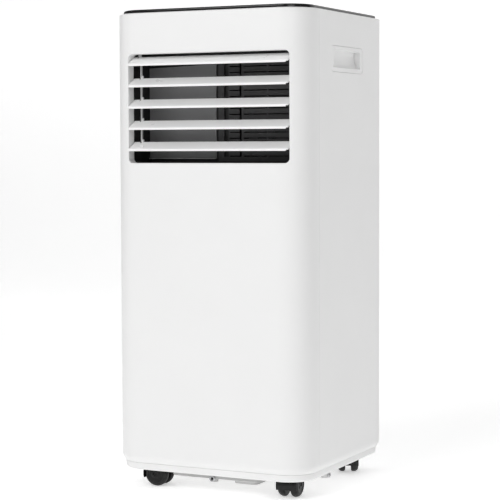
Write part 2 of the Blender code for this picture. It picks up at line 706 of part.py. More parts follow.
def build_condenser_fan():
    x, z = CONDENSER_FAN
    scroll_low, scroll_high = 0.020, 0.081
    wall = SCROLL_WALL
    horn_low, horn_high = (-0.066, 0.205), (0.066, 0.345)
    scroll = prism(spiral((x, z), 94, 0.070, 0.084), "y", scroll_low, scroll_high)
    horn = box((horn_low[0], scroll_low, horn_low[1]), (horn_high[0], scroll_high, horn_high[1]))
    inner = prism(spiral((x, z), 94, 0.070 - wall, 0.084 - wall), "y", scroll_low + wall, scroll_high - wall)
    horn_inner = box((horn_low[0] + wall, scroll_low + wall, horn_low[1] + wall),
                     (horn_high[0] - wall, scroll_high - wall, horn_high[1] - wall))
    inlet = cylinder("y", (x, z), CONDENSER_INLET, scroll_high - 0.01, scroll_high + 0.01, 32)
    outlet = cylinder("y", (EXHAUST_X, EXHAUST_Z), EXHAUST_RADIUS, scroll_high - 0.01,
                      scroll_high + 0.01, 32)
    shaft_hole = cylinder("y", (x, z), SHAFT_HOLE, scroll_low - 0.01, scroll_low + 0.01, 20)
    scroll = cut(join(scroll, horn), join(inner, horn_inner), inlet, outlet, shaft_hole)
    finish("condenser_scroll", scroll, "foam_white")
    wheel = fan_wheel((x, z), 0.062, 0.028, 0.074, 11)
    finish("condenser_wheel", wheel, "fan_black", (x, 0.050, z))
    finish("condenser_motor", motor((x, z), 0.040, -0.028, 0.018, 0.042), "steel")


def build_splash_fan():
    x, z = SPLASH_FAN
    finish("splash_motor", motor((x, z), 0.019, 0.030, 0.060, 0.073), "steel")
    disc_low = 0.067
    wheel = turned([(0.0026, disc_low), (0.024, disc_low), (0.027, disc_low + 0.0030),
                    (0.024, disc_low + 0.0020), (0.006, disc_low + 0.0020), (0.006, disc_low + 0.009),
                    (0.0026, disc_low + 0.009)], "y", (x, z), 16)
    finish("splash_wheel", wheel, "fan_black", (x, disc_low, z))


# Refrigerant circuit

def coil_block(half_width, y_low, y_high, z_low, z_high, rows):
    """Finned block with tube bends standing out of both ends."""
    groove, pitch = 0.0035, 0.0450
    count = int(2 * half_width / pitch) - 1
    start = -count * pitch / 2
    front, back = [], []
    for i in range(count):
        centre = start + (i + 0.5) * pitch
        for edge, y in ((-groove / 2, 0), (-groove / 2, groove), (groove / 2, groove), (groove / 2, 0)):
            front.append((centre + edge, y_low + y))
            back.append((centre + edge, y_high - y))
    outline = [(-half_width, y_low)] + front + [(half_width, y_low), (half_width, y_high)]
    outline += list(reversed(back)) + [(-half_width, y_high)]
    block = prism(outline, "z", z_low, z_high)
    middle = (y_low + y_high) / 2
    root, outer, inner = half_width - 0.004, 0.0112, 0.0048
    bends = []
    for i in range(rows):
        z = z_low + (i + 0.5) * (z_high - z_low) / rows
        for side in (1, -1):
            loop = [(side * root, middle - outer)]
            for radius, angles in ((outer, (-90, -54, -18, 18, 54, 90)), (inner, (90, 30, -30, -90))):
                if radius == inner:
                    loop += [(side * root, middle + outer), (side * root, middle + inner)]
                for degrees in angles:
                    angle = math.radians(degrees)
                    loop.append((side * (half_width + 0.0012 + radius * math.cos(angle)),
                                 middle + radius * math.sin(angle)))
            loop.append((side * root, middle - inner))
            bends.append(prism(loop, "z", z - 0.0032, z + 0.0032))
    return join(block, *bends)


def compressor_feet():
    spots = []
    for degrees in (63, 183, 303):
        angle = math.radians(degrees)
        spots.append((COMPRESSOR[0] + 0.053 * math.cos(angle), COMPRESSOR[1] + 0.053 * math.sin(angle)))
    return spots


def build_circuit():
    evaporator = coil_block(0.1155, 0.084, 0.112, 0.380, 0.600, 5)
    finish("evaporator_coil", evaporator, "fin_aluminium")
    condenser = coil_block(0.1175, 0.090, 0.118, 0.0575, 0.198, 4)
    finish("condenser_coil", condenser, "fin_aluminium")

    x, y = COMPRESSOR
    body = turned([(0, 0.054), (0.034, 0.056), (0.049, 0.064), (0.0525, 0.076), (0.0525, 0.146),
                   (0.0543, 0.147), (0.0543, 0.153), (0.0525, 0.154), (0.0525, 0.206), (0.047, 0.222),
                   (0.030, 0.231), (0, 0.234)], "z", (x, y), 24)
    feet = [cylinder("z", place, FOOT_RADIUS, BASE_FLOOR + 2 * GAP, 0.0690, 10)
            for place in compressor_feet()]
    terminal = cylinder("z", (x, y), 0.0137, 0.2245, 0.242, 11)
    finish("compressor", join(body, terminal, *feet), "compressor_black")

    bottle_x, bottle_y = 0.026, -0.075
    bottle = turned([(0, 0.100), (0.013, 0.102), (0.020, 0.112), (0.020, 0.196), (0.013, 0.207),
                     (0.006, 0.210), (0, 0.210)], "z", (bottle_x, bottle_y), 16)
    neck = tube(smooth_path([(bottle_x, bottle_y, 0.108), (bottle_x, bottle_y, 0.086),
                             (bottle_x - 0.031, bottle_y + 0.008, 0.086)], 0.008, 3), 0.0045)
    finish("accumulator", join(bottle, neck), "compressor_black")

    suction = smooth_path([(bottle_x, bottle_y, 0.2105), (bottle_x, bottle_y, 0.320),
                           (0.133, bottle_y, 0.320), (0.133, bottle_y, 0.440), (0.133, 0.098, 0.440),
                           (0.133, 0.098, 0.520)], 0.014, 4)
    finish("suction_pipe", tube(suction, 0.0045), "copper")
    discharge = smooth_path([(x - 0.030, y, 0.2335), (x - 0.030, y, 0.262), (-0.134, y, 0.262),
                             (-0.134, 0.104, 0.262), (-0.134, 0.104, 0.190)], 0.012, 4)
    finish("discharge_pipe", tube(discharge, 0.0035), "copper")

    coil_x, coil_y, coil_radius, turns, per_turn = 0.105, -0.090, 0.015, 3, 9
    capillary = [(0.1340, 0.104, 0.150), (0.1340, 0.104, 0.225), (0.1340, -0.030, 0.225)]
    for i in range(turns * per_turn + 1):
        angle = -2 * math.pi * i / per_turn
        capillary.append((coil_x + coil_radius * math.cos(angle), coil_y - coil_radius * math.sin(angle),
                          0.225 + 0.012 * i / per_turn))
    finish("capillary_tube", tube(capillary, 0.0014, 1), "copper")


# Structure

def build_tray():
    """Condensate tray between the two halves of the machine."""
    low, floor, top = 0.3560, 0.3585, 0.3720
    outline = [(-0.140, -0.060), (-0.140, 0.117), (0.122, 0.117), (0.122, -0.060)]
    tray = prism(outline, "z", low, top)
    hollow = prism([(-0.138, -0.058), (-0.138, 0.115), (0.120, 0.115), (0.120, -0.058)], "z", floor, 0.38)
    ledges = [box((-0.115, y, low + 0.001), (0.115, y + 0.004, floor + 0.006)) for y in (0.082, 0.110)]
    tray = join(cut(tray, hollow), *ledges)
    spout = cylinder("y", (UPPER_DRAIN[0], low + 0.008), 0.0040, 0.1155, 0.1225, 14)
    finish("condensate_tray", join(tray, spout), "duct_black")


def build_electrical_box():
    low, high = (-0.098, -0.050, 0.6105), (0.098, 0.055, 0.6360)
    wall = 0.0015
    case = box(low, high)
    hollow = box((low[0] + wall, low[1] + wall, low[2] + wall),
                 (high[0] - wall, high[1] - wall, high[2] + 0.01))
    ridge = [box((x, low[1] + wall / 2, low[2] + wall / 2), (x + 0.003, high[1] - wall / 2, low[2] + 0.010))
             for x in (-0.04, 0.04)]
    finish("electrical_box", join(cut(case, hollow), *ridge), "steel")


def build_base():
    """Chassis pan: skirt, floor, deep middle sump, caster sockets and two bolt bosses."""
    rim_top, rim_bottom = COVER_BOTTOM - 0.0008, 0.0250
    rim = loft([[(x, y, z) for x, y in case_outline(inset)] for z, inset in
                ((rim_bottom, 0.0072), (rim_bottom + 0.0012, 0.0060), (rim_bottom + 0.0035, 0.0051),
                 (rim_top, 0.0046))])
    upper = case_prism(0.0072, rim_top - 0.002, 0.0460)
    floor_low, floor_high = 0.0410, BASE_FLOOR
    pan = join(rim, upper)
    below_rim = case_prism(0.0086, 0.0, rim_top - 0.001)
    below_floor = case_prism(0.0098, 0.0, floor_low)
    above = case_prism(0.0098, floor_high, 0.1)
    pan = cut(pan, below_rim, below_floor, above)
    sump = prism(rounded_rectangle((-0.0640, -0.1160), (0.0715, 0.1160), 0.010, 2), "z", 0.0185, 0.0430)
    swivels = [caster[:2] for caster in CASTERS.values()]
    sockets = [cylinder("z", place, 0.0095, floor_low - 0.0010, 0.0560, 14) for place in swivels]
    bulge = prism(rounded_rectangle((0.030, -0.112), (0.066, -0.070), 0.008, 2), "z", 0.0140, 0.0200)
    bosses = [cylinder("z", place, BOSS_RADIUS, 0.0145, 0.0420, 14) for place in BOSSES]
    pan = join(pan, sump, bulge, *sockets, *bosses)
    sump_hollow = prism(rounded_rectangle((-0.0620, -0.1140), (0.0695, 0.1140), 0.008, 2),
                        "z", 0.0205, 0.1)
    bores = [cylinder("z", place, SOCKET_BORE, 0.0, 0.0545, 14) for place in swivels]
    bolt_holes = [cylinder("z", place, 0.0028, 0.0, top, 12) for place, top in zip(BOSSES, (0.0185, 0.0260))]
    pan = cut(pan, sump_hollow, *bores, *bolt_holes)
    pads = [cylinder("z", (x, y), FOOT_RADIUS + 0.0015, 0.0190 if x > -0.0640 else floor_low, BASE_FLOOR, 12)
            for x, y in compressor_feet()]
    pan = join(pan, *pads)
    finish("base_pan", pan, "base_white")


# Back fittings

def build_back_fittings():
    door_low, door_high = BACK - 0.0034, BACK - 0.0004
    x_lines = [-DOOR_HALF_WIDTH, -0.1020, -0.0360, -0.0320, 0.0320, 0.0360, 0.1020, DOOR_HALF_WIDTH]
    z_lines = bars(DOOR_Z[0] + 0.0075, DOOR_Z[1] - 0.0105, 12, GRILLE_BAR)
    z_lines[0], z_lines[-1] = DOOR_Z
    door = grid_plate(x_lines, z_lines, lambda i, j: i % 2 == 1 and j % 2 == 1, door_low, door_high)
    pull = box((-0.020, BACK - 0.0018, DOOR_Z[1] - 0.0085), (0.020, BACK + 0.01, DOOR_Z[1] - 0.0030))
    door = cut(door, pull)
    finish("upper_grille", door, "case_white", (0.0, BACK - 0.0020, DOOR_Z[0] + 0.0030))

    filter_low, filter_high = BACK - 0.0100, door_low - 2 * GAP
    net = 0.0010
    frame_x = [-0.1060, -0.1020, -0.0020, 0.0020, 0.1020, 0.1060]
    frame_z = [DOOR_Z[0] + 0.0080, DOOR_Z[0] + 0.0120, 0.5005, 0.5045, DOOR_Z[1] - 0.0120, DOOR_Z[1] - 0.0080]
    frame = grid_plate(frame_x, frame_z, lambda i, j: i % 2 == 1 and j % 2 == 1, filter_low, filter_high)
    mesh = box((-0.1040, filter_low + 0.0015, DOOR_Z[0] + 0.0100),
               (0.1040, filter_low + 0.0015 + net, DOOR_Z[1] - 0.0100))
    finish("air_filter", join(frame, mesh), "filter_mesh", (0.0, BACK - 0.0020, DOOR_Z[0] + 0.0030))

    x_lines = [-VENT_HALF_WIDTH, -0.0990, -0.0350, -0.0310, 0.0310, 0.0350, 0.0990, VENT_HALF_WIDTH]
    z_lines = bars(VENT_Z[0] + 0.0040, VENT_Z[1] - 0.0040, 8, GRILLE_BAR)
    z_lines[0], z_lines[-1] = VENT_Z
    vent = grid_plate(x_lines, z_lines, lambda i, j: i % 2 == 1 and j % 2 == 1,
                      BACK - 0.0032, BACK - 0.0004)
    finish("lower_grille", vent, "case_white")

    flange_low = BACK - EXHAUST_POCKET_DEPTH + GAP
    outer = EXHAUST_RADIUS + COLLAR_WALL
    collar = turned([(EXHAUST_RADIUS, 0.0840), (outer, 0.0840), (outer, flange_low), (0.0680, flange_low),
                     (0.0680, flange_low + 0.0018), (outer, flange_low + 0.0030), (outer, BACK - 0.0003),
                     (EXHAUST_RADIUS, BACK - 0.0003)], "y", (EXHAUST_X, EXHAUST_Z), 32)
    finish("exhaust_collar", collar, "case_white")

    for name, place, cap, stem in (("drain_cap_upper", UPPER_DRAIN, 0.0092, 0.0044),
                                   ("drain_cap_lower", LOWER_DRAIN, 0.0074, 0.0036)):
        seat = BACK - DRAIN_POCKET_DEPTH + GAP
        plug = turned([(0, BACK - 0.0105), (stem, BACK - 0.0105), (stem, seat), (cap, seat),
                       (cap, BACK - 0.0012), (cap - 0.0008, BACK - 0.0004), (0, BACK - 0.0004)],
                      "y", place, 16)
        finish(name, plug, "rubber_black", (place[0], seat, place[1]))

    inner_face = BACK - WALL - GAP
    gland = turned([(0.0035, inner_face - 0.0040), (0.0085, inner_face - 0.0040), (0.0085, inner_face),
                    (0.0056, inner_face), (0.0056, BACK - 0.0010), (0.0050, BACK - 0.0003),
                    (0.0035, BACK - 0.0003)], "y", GLAND, 16)
    finish("cord_gland", gland, "rubber_black")


# Casters

def build_caster(name, x, y, heading):
    """Twin-wheel caster. It is shaped with its trail along +X and its axle along Y, then turned."""
    axle_x, axle_z = CASTER_TRAIL, WHEEL_RADIUS
    inner = HOOD_RADIUS - HOOD_THICKNESS
    arc = []
    first, last, steps = 38, 200, 9  # the hood's arc in degrees, from its rear edge to its front edge
    for i in range(steps + 1):
        angle = math.radians(first + (last - first) * i / steps)
        arc.append((math.cos(angle), math.sin(angle)))
    outline = [(axle_x + HOOD_RADIUS * a, axle_z + HOOD_RADIUS * b) for a, b in arc]
    outline += [(axle_x + inner * a, axle_z + inner * b) for a, b in reversed(arc)]
    hood = prism(outline, "y", -WHEEL_OUTER, WHEEL_OUTER)
    web = prism([(axle_x + (inner + 0.0006) * a, axle_z + (inner + 0.0006) * b) for a, b in arc]
                + [(axle_x - 0.003, axle_z - 0.008), (axle_x + 0.003, axle_z - 0.008)],
                "y", -WHEEL_INNER + 0.0019, WHEEL_INNER - 0.0019)
    axle = cylinder("y", (axle_x, axle_z), AXLE_RADIUS, -WHEEL_OUTER + 0.0012, WHEEL_OUTER - 0.0012, 10)
    collar_bottom = 0.0265
    stem = turned([(0, collar_bottom), (0.0075, collar_bottom), (0.0075, 0.0392), (0.0054, 0.0396),
                   (0.0054, 0.0525), (0.0044, 0.0538), (0, 0.0538)], "z", (0.0, 0.0), 12)
    stem = cut(stem, cylinder("y", (axle_x, axle_z), inner + 0.0003, -0.02, 0.02, 36))
    hood = join(hood, web, axle, stem)
    place = Matrix.Translation((x, y, 0.0)) @ Matrix.Rotation(math.radians(heading), 4, "Z")
    finish(f"caster_{name}_hood", moved(hood, place), "caster_black", (x, y, 0.0392))
    centre = place @ Vector((axle_x, 0.0, axle_z))
    for side, label in ((-1, "a"), (1, "b")):
        bore, radius = AXLE_RADIUS + GAP, WHEEL_RADIUS
        profile = [(bore, WHEEL_INNER), (radius - 0.0022, WHEEL_INNER), (radius, WHEEL_INNER + 0.0028),
                   (radius - 0.0002, WHEEL_INNER + 0.0055), (radius - 0.0016, WHEEL_OUTER - 0.0018),
                   (radius - 0.0046, WHEEL_OUTER), (bore, WHEEL_OUTER)]
        wheel = turned([(r, side * h) for r, h in profile], "y", (axle_x, axle_z), 20)
        finish(f"caster_{name}_wheel_{label}", moved(wheel, place), "caster_black", centre)


def main():
    for old in list(bpy.data.objects):
        bpy.data.objects.remove(old)
    build_front_cover()
    build_rear_cover()
    build_grips()
    build_top_panel()
    build_louvers()
    build_duct()
    build_evaporator_fan()
    build_condenser_fan()
    build_splash_fan()
    build_circuit()
    build_tray()
    build_electrical_box()
    build_base()
    build_back_fittings()
    for name, (x, y, heading) in CASTERS.items():
        build_caster(name, x, y, heading)


main()
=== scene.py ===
"""Looks of the portable air conditioner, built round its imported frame. Metres, +Z up, front to -Y."""
import math

import bmesh
import bpy
from mathutils import Matrix, Vector


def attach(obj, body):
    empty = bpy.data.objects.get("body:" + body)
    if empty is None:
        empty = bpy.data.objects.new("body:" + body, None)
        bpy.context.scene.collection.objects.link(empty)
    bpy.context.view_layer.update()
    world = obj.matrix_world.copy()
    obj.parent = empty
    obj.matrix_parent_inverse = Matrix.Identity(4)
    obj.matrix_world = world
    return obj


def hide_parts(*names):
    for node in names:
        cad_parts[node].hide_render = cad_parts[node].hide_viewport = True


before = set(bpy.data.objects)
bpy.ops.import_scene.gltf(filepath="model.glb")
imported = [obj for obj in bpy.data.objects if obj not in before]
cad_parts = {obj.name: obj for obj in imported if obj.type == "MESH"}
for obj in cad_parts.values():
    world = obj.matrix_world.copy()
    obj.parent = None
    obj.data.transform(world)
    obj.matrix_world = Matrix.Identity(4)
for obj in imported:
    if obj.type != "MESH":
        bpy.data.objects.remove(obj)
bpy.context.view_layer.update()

# Case, as the frame has it
WIDTH, DEPTH = 0.298, 0.267
FRONT, BACK = -DEPTH / 2, DEPTH / 2
FRONT_RADIUS, REAR_RADIUS, SMALLEST_RADIUS = 0.044, 0.006, 0.0008
COVER_BOTTOM, COVER_TOP, TOTAL_HEIGHT = 0.035, 0.655, 0.660
WALL, GAP = 0.0025, 0.0003
SEAM_Y = FRONT + 0.045
LID_INSET, RIM_INSET = 0.0060, 0.0057
OUTLET = (-0.1180, 0.1236, 0.4506, 0.5991)
OUTLET_RADIUS = 0.0062
JAMB_BACK = FRONT + 0.0171
LIP_RADIUS = 0.0009
BLADE_COUNT = 5
BLADE_PITCH = 0.02908
TOP_PIVOT = (-0.1240, 0.5897)
BLADE_END_GAP = 0.0010
PIN_RADIUS = 0.0012
LINK_X, LINK_WIDTH, LINK_TOP_SHIFT = -0.1070, 0.0020, -0.0028
LINK_PIN = (0.0104, 0.0082)
LINK_PIN_RADIUS, LINK_DEPTH = 0.0007, 0.0034
EXHAUST = (0.0, 0.275)
EXHAUST_RADIUS, EXHAUST_POCKET_RADIUS, EXHAUST_POCKET_DEPTH = 0.058, 0.070, 0.010
UPPER_DRAIN, LOWER_DRAIN = (0.112, 0.374), (0.090, 0.059)
DRAIN_POCKET_DEPTH = 0.006
GLAND = (-0.127, 0.090)
DOOR_HALF_WIDTH, DOOR_Z = 0.112, (0.4055, 0.5995)
VENT_HALF_WIDTH, VENT_Z = 0.108, (0.074, 0.196)
GRILLE_BAR = 0.0048
GRIP_Y, GRIP_Z = (-0.049, 0.065), (0.5735, 0.6085)
GRIP_MOUTH_Y, GRIP_MOUTH_Z = (-0.040, 0.054), (0.5795, 0.603)
GRIP_DEPTH, GRIP_STRAIGHT = 0.012, 0.004
BUTTON_Y, BUTTON_RADIUS, PANEL_FLOOR = -0.098, 0.0060, 0.6590
BUTTONS = {"power_button": -0.090, "mode_button": -0.066, "fan_button": -0.042,
           "timer_button": 0.042, "up_button": 0.066, "down_button": 0.090}
CASTERS = {"front_left": (-0.0945, -0.0985, 0.0), "front_right": (0.1092, -0.0985, 94.0),
           "rear_left": (-0.0945, 0.0985, 160.0), "rear_right": (0.1125, 0.0985, 115.0)}
WHEEL_RADIUS, WHEEL_INNER, WHEEL_OUTER = 0.0175, 0.0042, 0.0148
CASTER_TRAIL, HOOD_RADIUS, HOOD_THICKNESS = 0.004, 0.0190, 0.0013
BOSSES = ((0.0010, -0.1110), (0.1280, -0.0220))
SCREWS = ((-0.130, 0.622), (0.130, 0.622), (-0.130, 0.385), (0.133, 0.345), (-0.130, 0.215), (0.130, 0.215))


# Mesh helpers

def object_from(bm):
    bmesh.ops.recalc_face_normals(bm, faces=bm.faces[:])
    mesh = bpy.data.meshes.new("shape")
    bm.to_mesh(mesh)
    bm.free()
    shape = bpy.data.objects.new("shape", mesh)
    bpy.context.scene.collection.objects.link(shape)
    return shape


def loft(rings):
    """Solid through rings of equal length, capped at both ends."""
    bm = bmesh.new()
    layers = [[bm.verts.new(point) for point in ring] for ring in rings]
    count = len(layers[0])
    for lower, upper in zip(layers, layers[1:]):
        for i in range(count):
            j = (i + 1) % count
            bm.faces.new((lower[i], lower[j], upper[j], upper[i]))
    bm.faces.new(list(reversed(layers[0])))
    bm.faces.new(layers[-1])
    return object_from(bm)


def lift(point, axis, height):
    a, b = point
    return {"x": (height, a, b), "y": (a, height, b), "z": (a, b, height)}[axis]


def prism(outline, axis, low, high):
    return loft([[lift(point, axis, height) for point in outline] for height in (low, high)])


def box(low, high):
    outline = ((low[0], low[1]), (high[0], low[1]), (high[0], high[1]), (low[0], high[1]))
    return prism(outline, "z", low[2], high[2])


def rounded_rectangle(low, high, radius, steps=10):
    points = []
    centres = ((high[0] - radius, low[1] + radius, -90), (high[0] - radius, high[1] - radius, 0),
               (low[0] + radius, high[1] - radius, 90), (low[0] + radius, low[1] + radius, 180))
    for x, y, start in centres:
        for i in range(steps + 1):
            angle = math.radians(start + 90 * i / steps)
            points.append((x + radius * math.cos(angle), y + radius * math.sin(angle)))
    return points


def circle(centre, radius, steps=64):
    turn = 2 * math.pi / steps
    return [(centre[0] + radius * math.cos(i * turn), centre[1] + radius * math.sin(i * turn))
            for i in range(steps)]


def cylinder(axis, centre, radius, low, high, steps=64):
    return prism(circle(centre, radius, steps), axis, low, high)


def rounded(points, radius, steps=3):
    """A closed outline with each corner rounded, as far as its edges allow."""
    result = []
    for i, point in enumerate(points):
        corner = Vector(point)
        before, after = Vector(points[i - 1]) - corner, Vector(points[(i + 1) % len(points)]) - corner
        reach = min(radius, 0.45 * before.length, 0.45 * after.length)
        start, end = corner + before.normalized() * reach, corner + after.normalized() * reach
        for j in range(steps + 1):
            t = j / steps
            result.append(tuple(start * (1 - t) ** 2 + corner * 2 * t * (1 - t) + end * t ** 2))
    return result


def turned(profile, axis, centre, steps=64):
    """Solid of revolution of a closed profile of (radius, height) about an axis through centre."""
    bm = bmesh.new()
    columns = []
    for step in range(steps):
        angle = 2 * math.pi * step / steps
        column = []
        for i, (radius, height) in enumerate(profile):
            if radius == 0 and columns:
                column.append(columns[0][i])
                continue
            flat = (centre[0] + radius * math.cos(angle), centre[1] + radius * math.sin(angle))
            column.append(bm.verts.new(lift(flat, axis, height)))
        columns.append(column)
    for this, following in zip(columns, columns[1:] + columns[:1]):
        for i in range(len(profile)):
            j = (i + 1) % len(profile)
            corners = []
            for vert in (this[i], following[i], following[j], this[j]):
                if vert not in corners:
                    corners.append(vert)
            if len(corners) > 2:
                bm.faces.new(corners)
    return object_from(bm)


def tube(points, radius, sides=12):
    """Round pipe along points, with closed ends and no twist."""
    points = [Vector(point) for point in points]
    rings = []
    side = None
    for i, point in enumerate(points):
        ahead = points[min(i + 1, len(points) - 1)] - points[max(i - 1, 0)]
        ahead.normalize()
        if side is None:
            side = ahead.orthogonal().normalized()
        side = (side - ahead * side.dot(ahead)).normalized()
        up = ahead.cross(side)
        rings.append([point + side * (radius * math.cos(a)) + up * (radius * math.sin(a))
                      for a in (2 * math.pi * j / sides for j in range(sides))])
    return loft(rings)


def grid_plate(x_lines, z_lines, is_open, y_low, y_high):
    """Flat plate cut into cells, with the open cells left out."""
    bm = bmesh.new()
    verts = {}

    def vert(i, j, y):
        key = (i, j, y)
        if key not in verts:
            verts[key] = bm.verts.new((x_lines[i], y, z_lines[j]))
        return verts[key]

    columns, rows = len(x_lines) - 1, len(z_lines) - 1

    def solid(i, j):
        return 0 <= i < columns and 0 <= j < rows and not is_open(i, j)

    for i in range(columns):
        for j in range(rows):
            if not solid(i, j):
                continue
            corners = ((i, j), (i + 1, j), (i + 1, j + 1), (i, j + 1))
            bm.faces.new([vert(a, b, y_low) for a, b in corners])
            bm.faces.new([vert(a, b, y_high) for a, b in reversed(corners)])
            for side, (a, b) in enumerate(((i, j - 1), (i + 1, j), (i, j + 1), (i - 1, j))):
                if not solid(a, b):
                    start, end = corners[side], corners[(side + 1) % 4]
                    bm.faces.new((vert(*end, y_low), vert(*start, y_low),
                                  vert(*start, y_high), vert(*end, y_high)))
    return object_from(bm)


def bars(low, high, count, bar):
    opening = (high - low - (count + 1) * bar) / count
    lines = [low]
    for i in range(count):
        lines.append(low + bar + i * (bar + opening))
        lines.append(lines[-1] + opening)
    lines.append(high)
    return lines


def combine(target, others, operation):
    for other in others:
        modifier = target.modifiers.new(operation.lower(), "BOOLEAN")
        modifier.operation = operation
        modifier.object = other
    graph = bpy.context.evaluated_depsgraph_get()
    mesh = bpy.data.meshes.new_from_object(target.evaluated_get(graph))
    target.modifiers.clear()
    target.data = mesh
    for other in others:
        bpy.data.objects.remove(other)
    return target


def cut(target, *others):
    return combine(target, others, "DIFFERENCE")


def join(target, *others):
    return combine(target, others, "UNION")


def common(target, *others):
    return combine(target, others, "INTERSECT")


def gathered(*shapes):
    """Shapes that don't meet, as one object."""
    bm = bmesh.new()
    for shape in shapes:
        shape.data.transform(shape.matrix_basis)
        bm.from_mesh(shape.data)
        bpy.data.objects.remove(shape)
    return object_from(bm)


def soften(shape, width, chosen=None, steps=2, angle=30):
    """Round the sharp edges, or those of them that chosen(middle, edge) picks."""
    bm = bmesh.new()
    bm.from_mesh(shape.data)
    bmesh.ops.remove_doubles(bm, verts=bm.verts[:], dist=2e-6)
    bmesh.ops.dissolve_limit(bm, angle_limit=math.radians(0.5), verts=bm.verts[:], edges=bm.edges[:])
    edges = []
    for edge in bm.edges:
        if len(edge.link_faces) == 2 and edge.calc_face_angle(0) > math.radians(angle):
            middle = (edge.verts[0].co + edge.verts[1].co) / 2
            if chosen is None or chosen(middle, edge):
                edges.append(edge)
    bmesh.ops.bevel(bm, geom=edges, offset=width, offset_type="OFFSET", segments=steps, profile=0.5,
                    affect="EDGES", clamp_overlap=True, miter_outer="ARC")
    bm.to_mesh(shape.data)
    bm.free()
    return shape


# Materials

def node(tree, kind, **values):
    made = tree.nodes.new(kind)
    for key, value in values.items():
        setattr(made, key, value)
    return made


def noise(tree, place, scale, detail, stretch=(1.0, 1.0, 1.0)):
    mapping = node(tree, "ShaderNodeMapping")
    mapping.inputs["Scale"].default_value = stretch
    tree.links.new(place.outputs["Object"], mapping.inputs["Vector"])
    made = node(tree, "ShaderNodeTexNoise")
    made.inputs["Scale"].default_value = scale
    made.inputs["Detail"].default_value = detail
    tree.links.new(mapping.outputs["Vector"], made.inputs["Vector"])
    return made.outputs["Fac"]


def spread(tree, source, low, high, start=0.3, end=0.7):
    made = node(tree, "ShaderNodeMapRange")
    made.inputs["From Min"].default_value = start
    made.inputs["From Max"].default_value = end
    made.inputs["To Min"].default_value = low
    made.inputs["To Max"].default_value = high
    tree.links.new(source, made.inputs["Value"])
    return made.outputs["Result"]


def blend_of(tree, factor, first, second):
    """Mix of two colours by a factor. The first may also come from another node."""
    made = node(tree, "ShaderNodeMix", data_type="RGBA")
    tree.links.new(factor, made.inputs["Factor"])
    start, end = (socket for socket in made.inputs if socket.type == "RGBA")
    if isinstance(first, tuple):
        start.default_value = (*first, 1.0)
    else:
        tree.links.new(first, start)
    end.default_value = (*second, 1.0)
    return next(socket for socket in made.outputs if socket.type == "RGBA")


def finish_of(name, colour, roughness, grain=(900.0, 0.00002), wave=(18.0, 0.00012), mottle=0.03,
              metallic=0.0, patch=30.0, rough_spread=0.06, coat=0.0, specular=0.5, stretch=(1, 1, 1),
              second=None, second_share=(0.55, 0.75)):
    """Moulded, painted or metal finish: colour drift, uneven gloss, fine grain over slight waviness."""
    made = bpy.data.materials.new(name)
    made.use_nodes = True
    tree = made.node_tree
    shader = tree.nodes["Principled BSDF"]
    place = node(tree, "ShaderNodeTexCoord")
    drift = spread(tree, noise(tree, place, patch * 0.35, 4.0, stretch), 0.0, 1.0)
    darker = tuple(c * (1 - mottle) for c in colour)
    lighter = tuple(min(1.0, c * (1 + mottle)) for c in colour)
    tint = blend_of(tree, drift, darker, lighter)
    if second is not None:
        speck = spread(tree, noise(tree, place, patch * 6, 6.0, stretch), 0.0, 1.0, *second_share)
        tint = blend_of(tree, speck, tint, second)
    tree.links.new(tint, shader.inputs["Base Color"])
    gloss = spread(tree, noise(tree, place, patch, 5.0, stretch), roughness - rough_spread / 2,
                   roughness + rough_spread / 2)
    tree.links.new(gloss, shader.inputs["Roughness"])
    shader.inputs["Metallic"].default_value = metallic
    shader.inputs["Coat Weight"].default_value = coat
    shader.inputs["Coat Roughness"].default_value = 0.06
    shader.inputs["Specular IOR Level"].default_value = specular
    slow = node(tree, "ShaderNodeBump")
    slow.inputs["Strength"].default_value = 0.35
    slow.inputs["Distance"].default_value = wave[1]
    tree.links.new(noise(tree, place, wave[0], 2.0), slow.inputs["Height"])
    fine = node(tree, "ShaderNodeBump")
    fine.inputs["Strength"].default_value = 0.5
    fine.inputs["Distance"].default_value = grain[1]
    tree.links.new(noise(tree, place, grain[0], 3.0, stretch), fine.inputs["Height"])
    tree.links.new(slow.outputs["Normal"], fine.inputs["Normal"])
    tree.links.new(fine.outputs["Normal"], shader.inputs["Normal"])
    return made


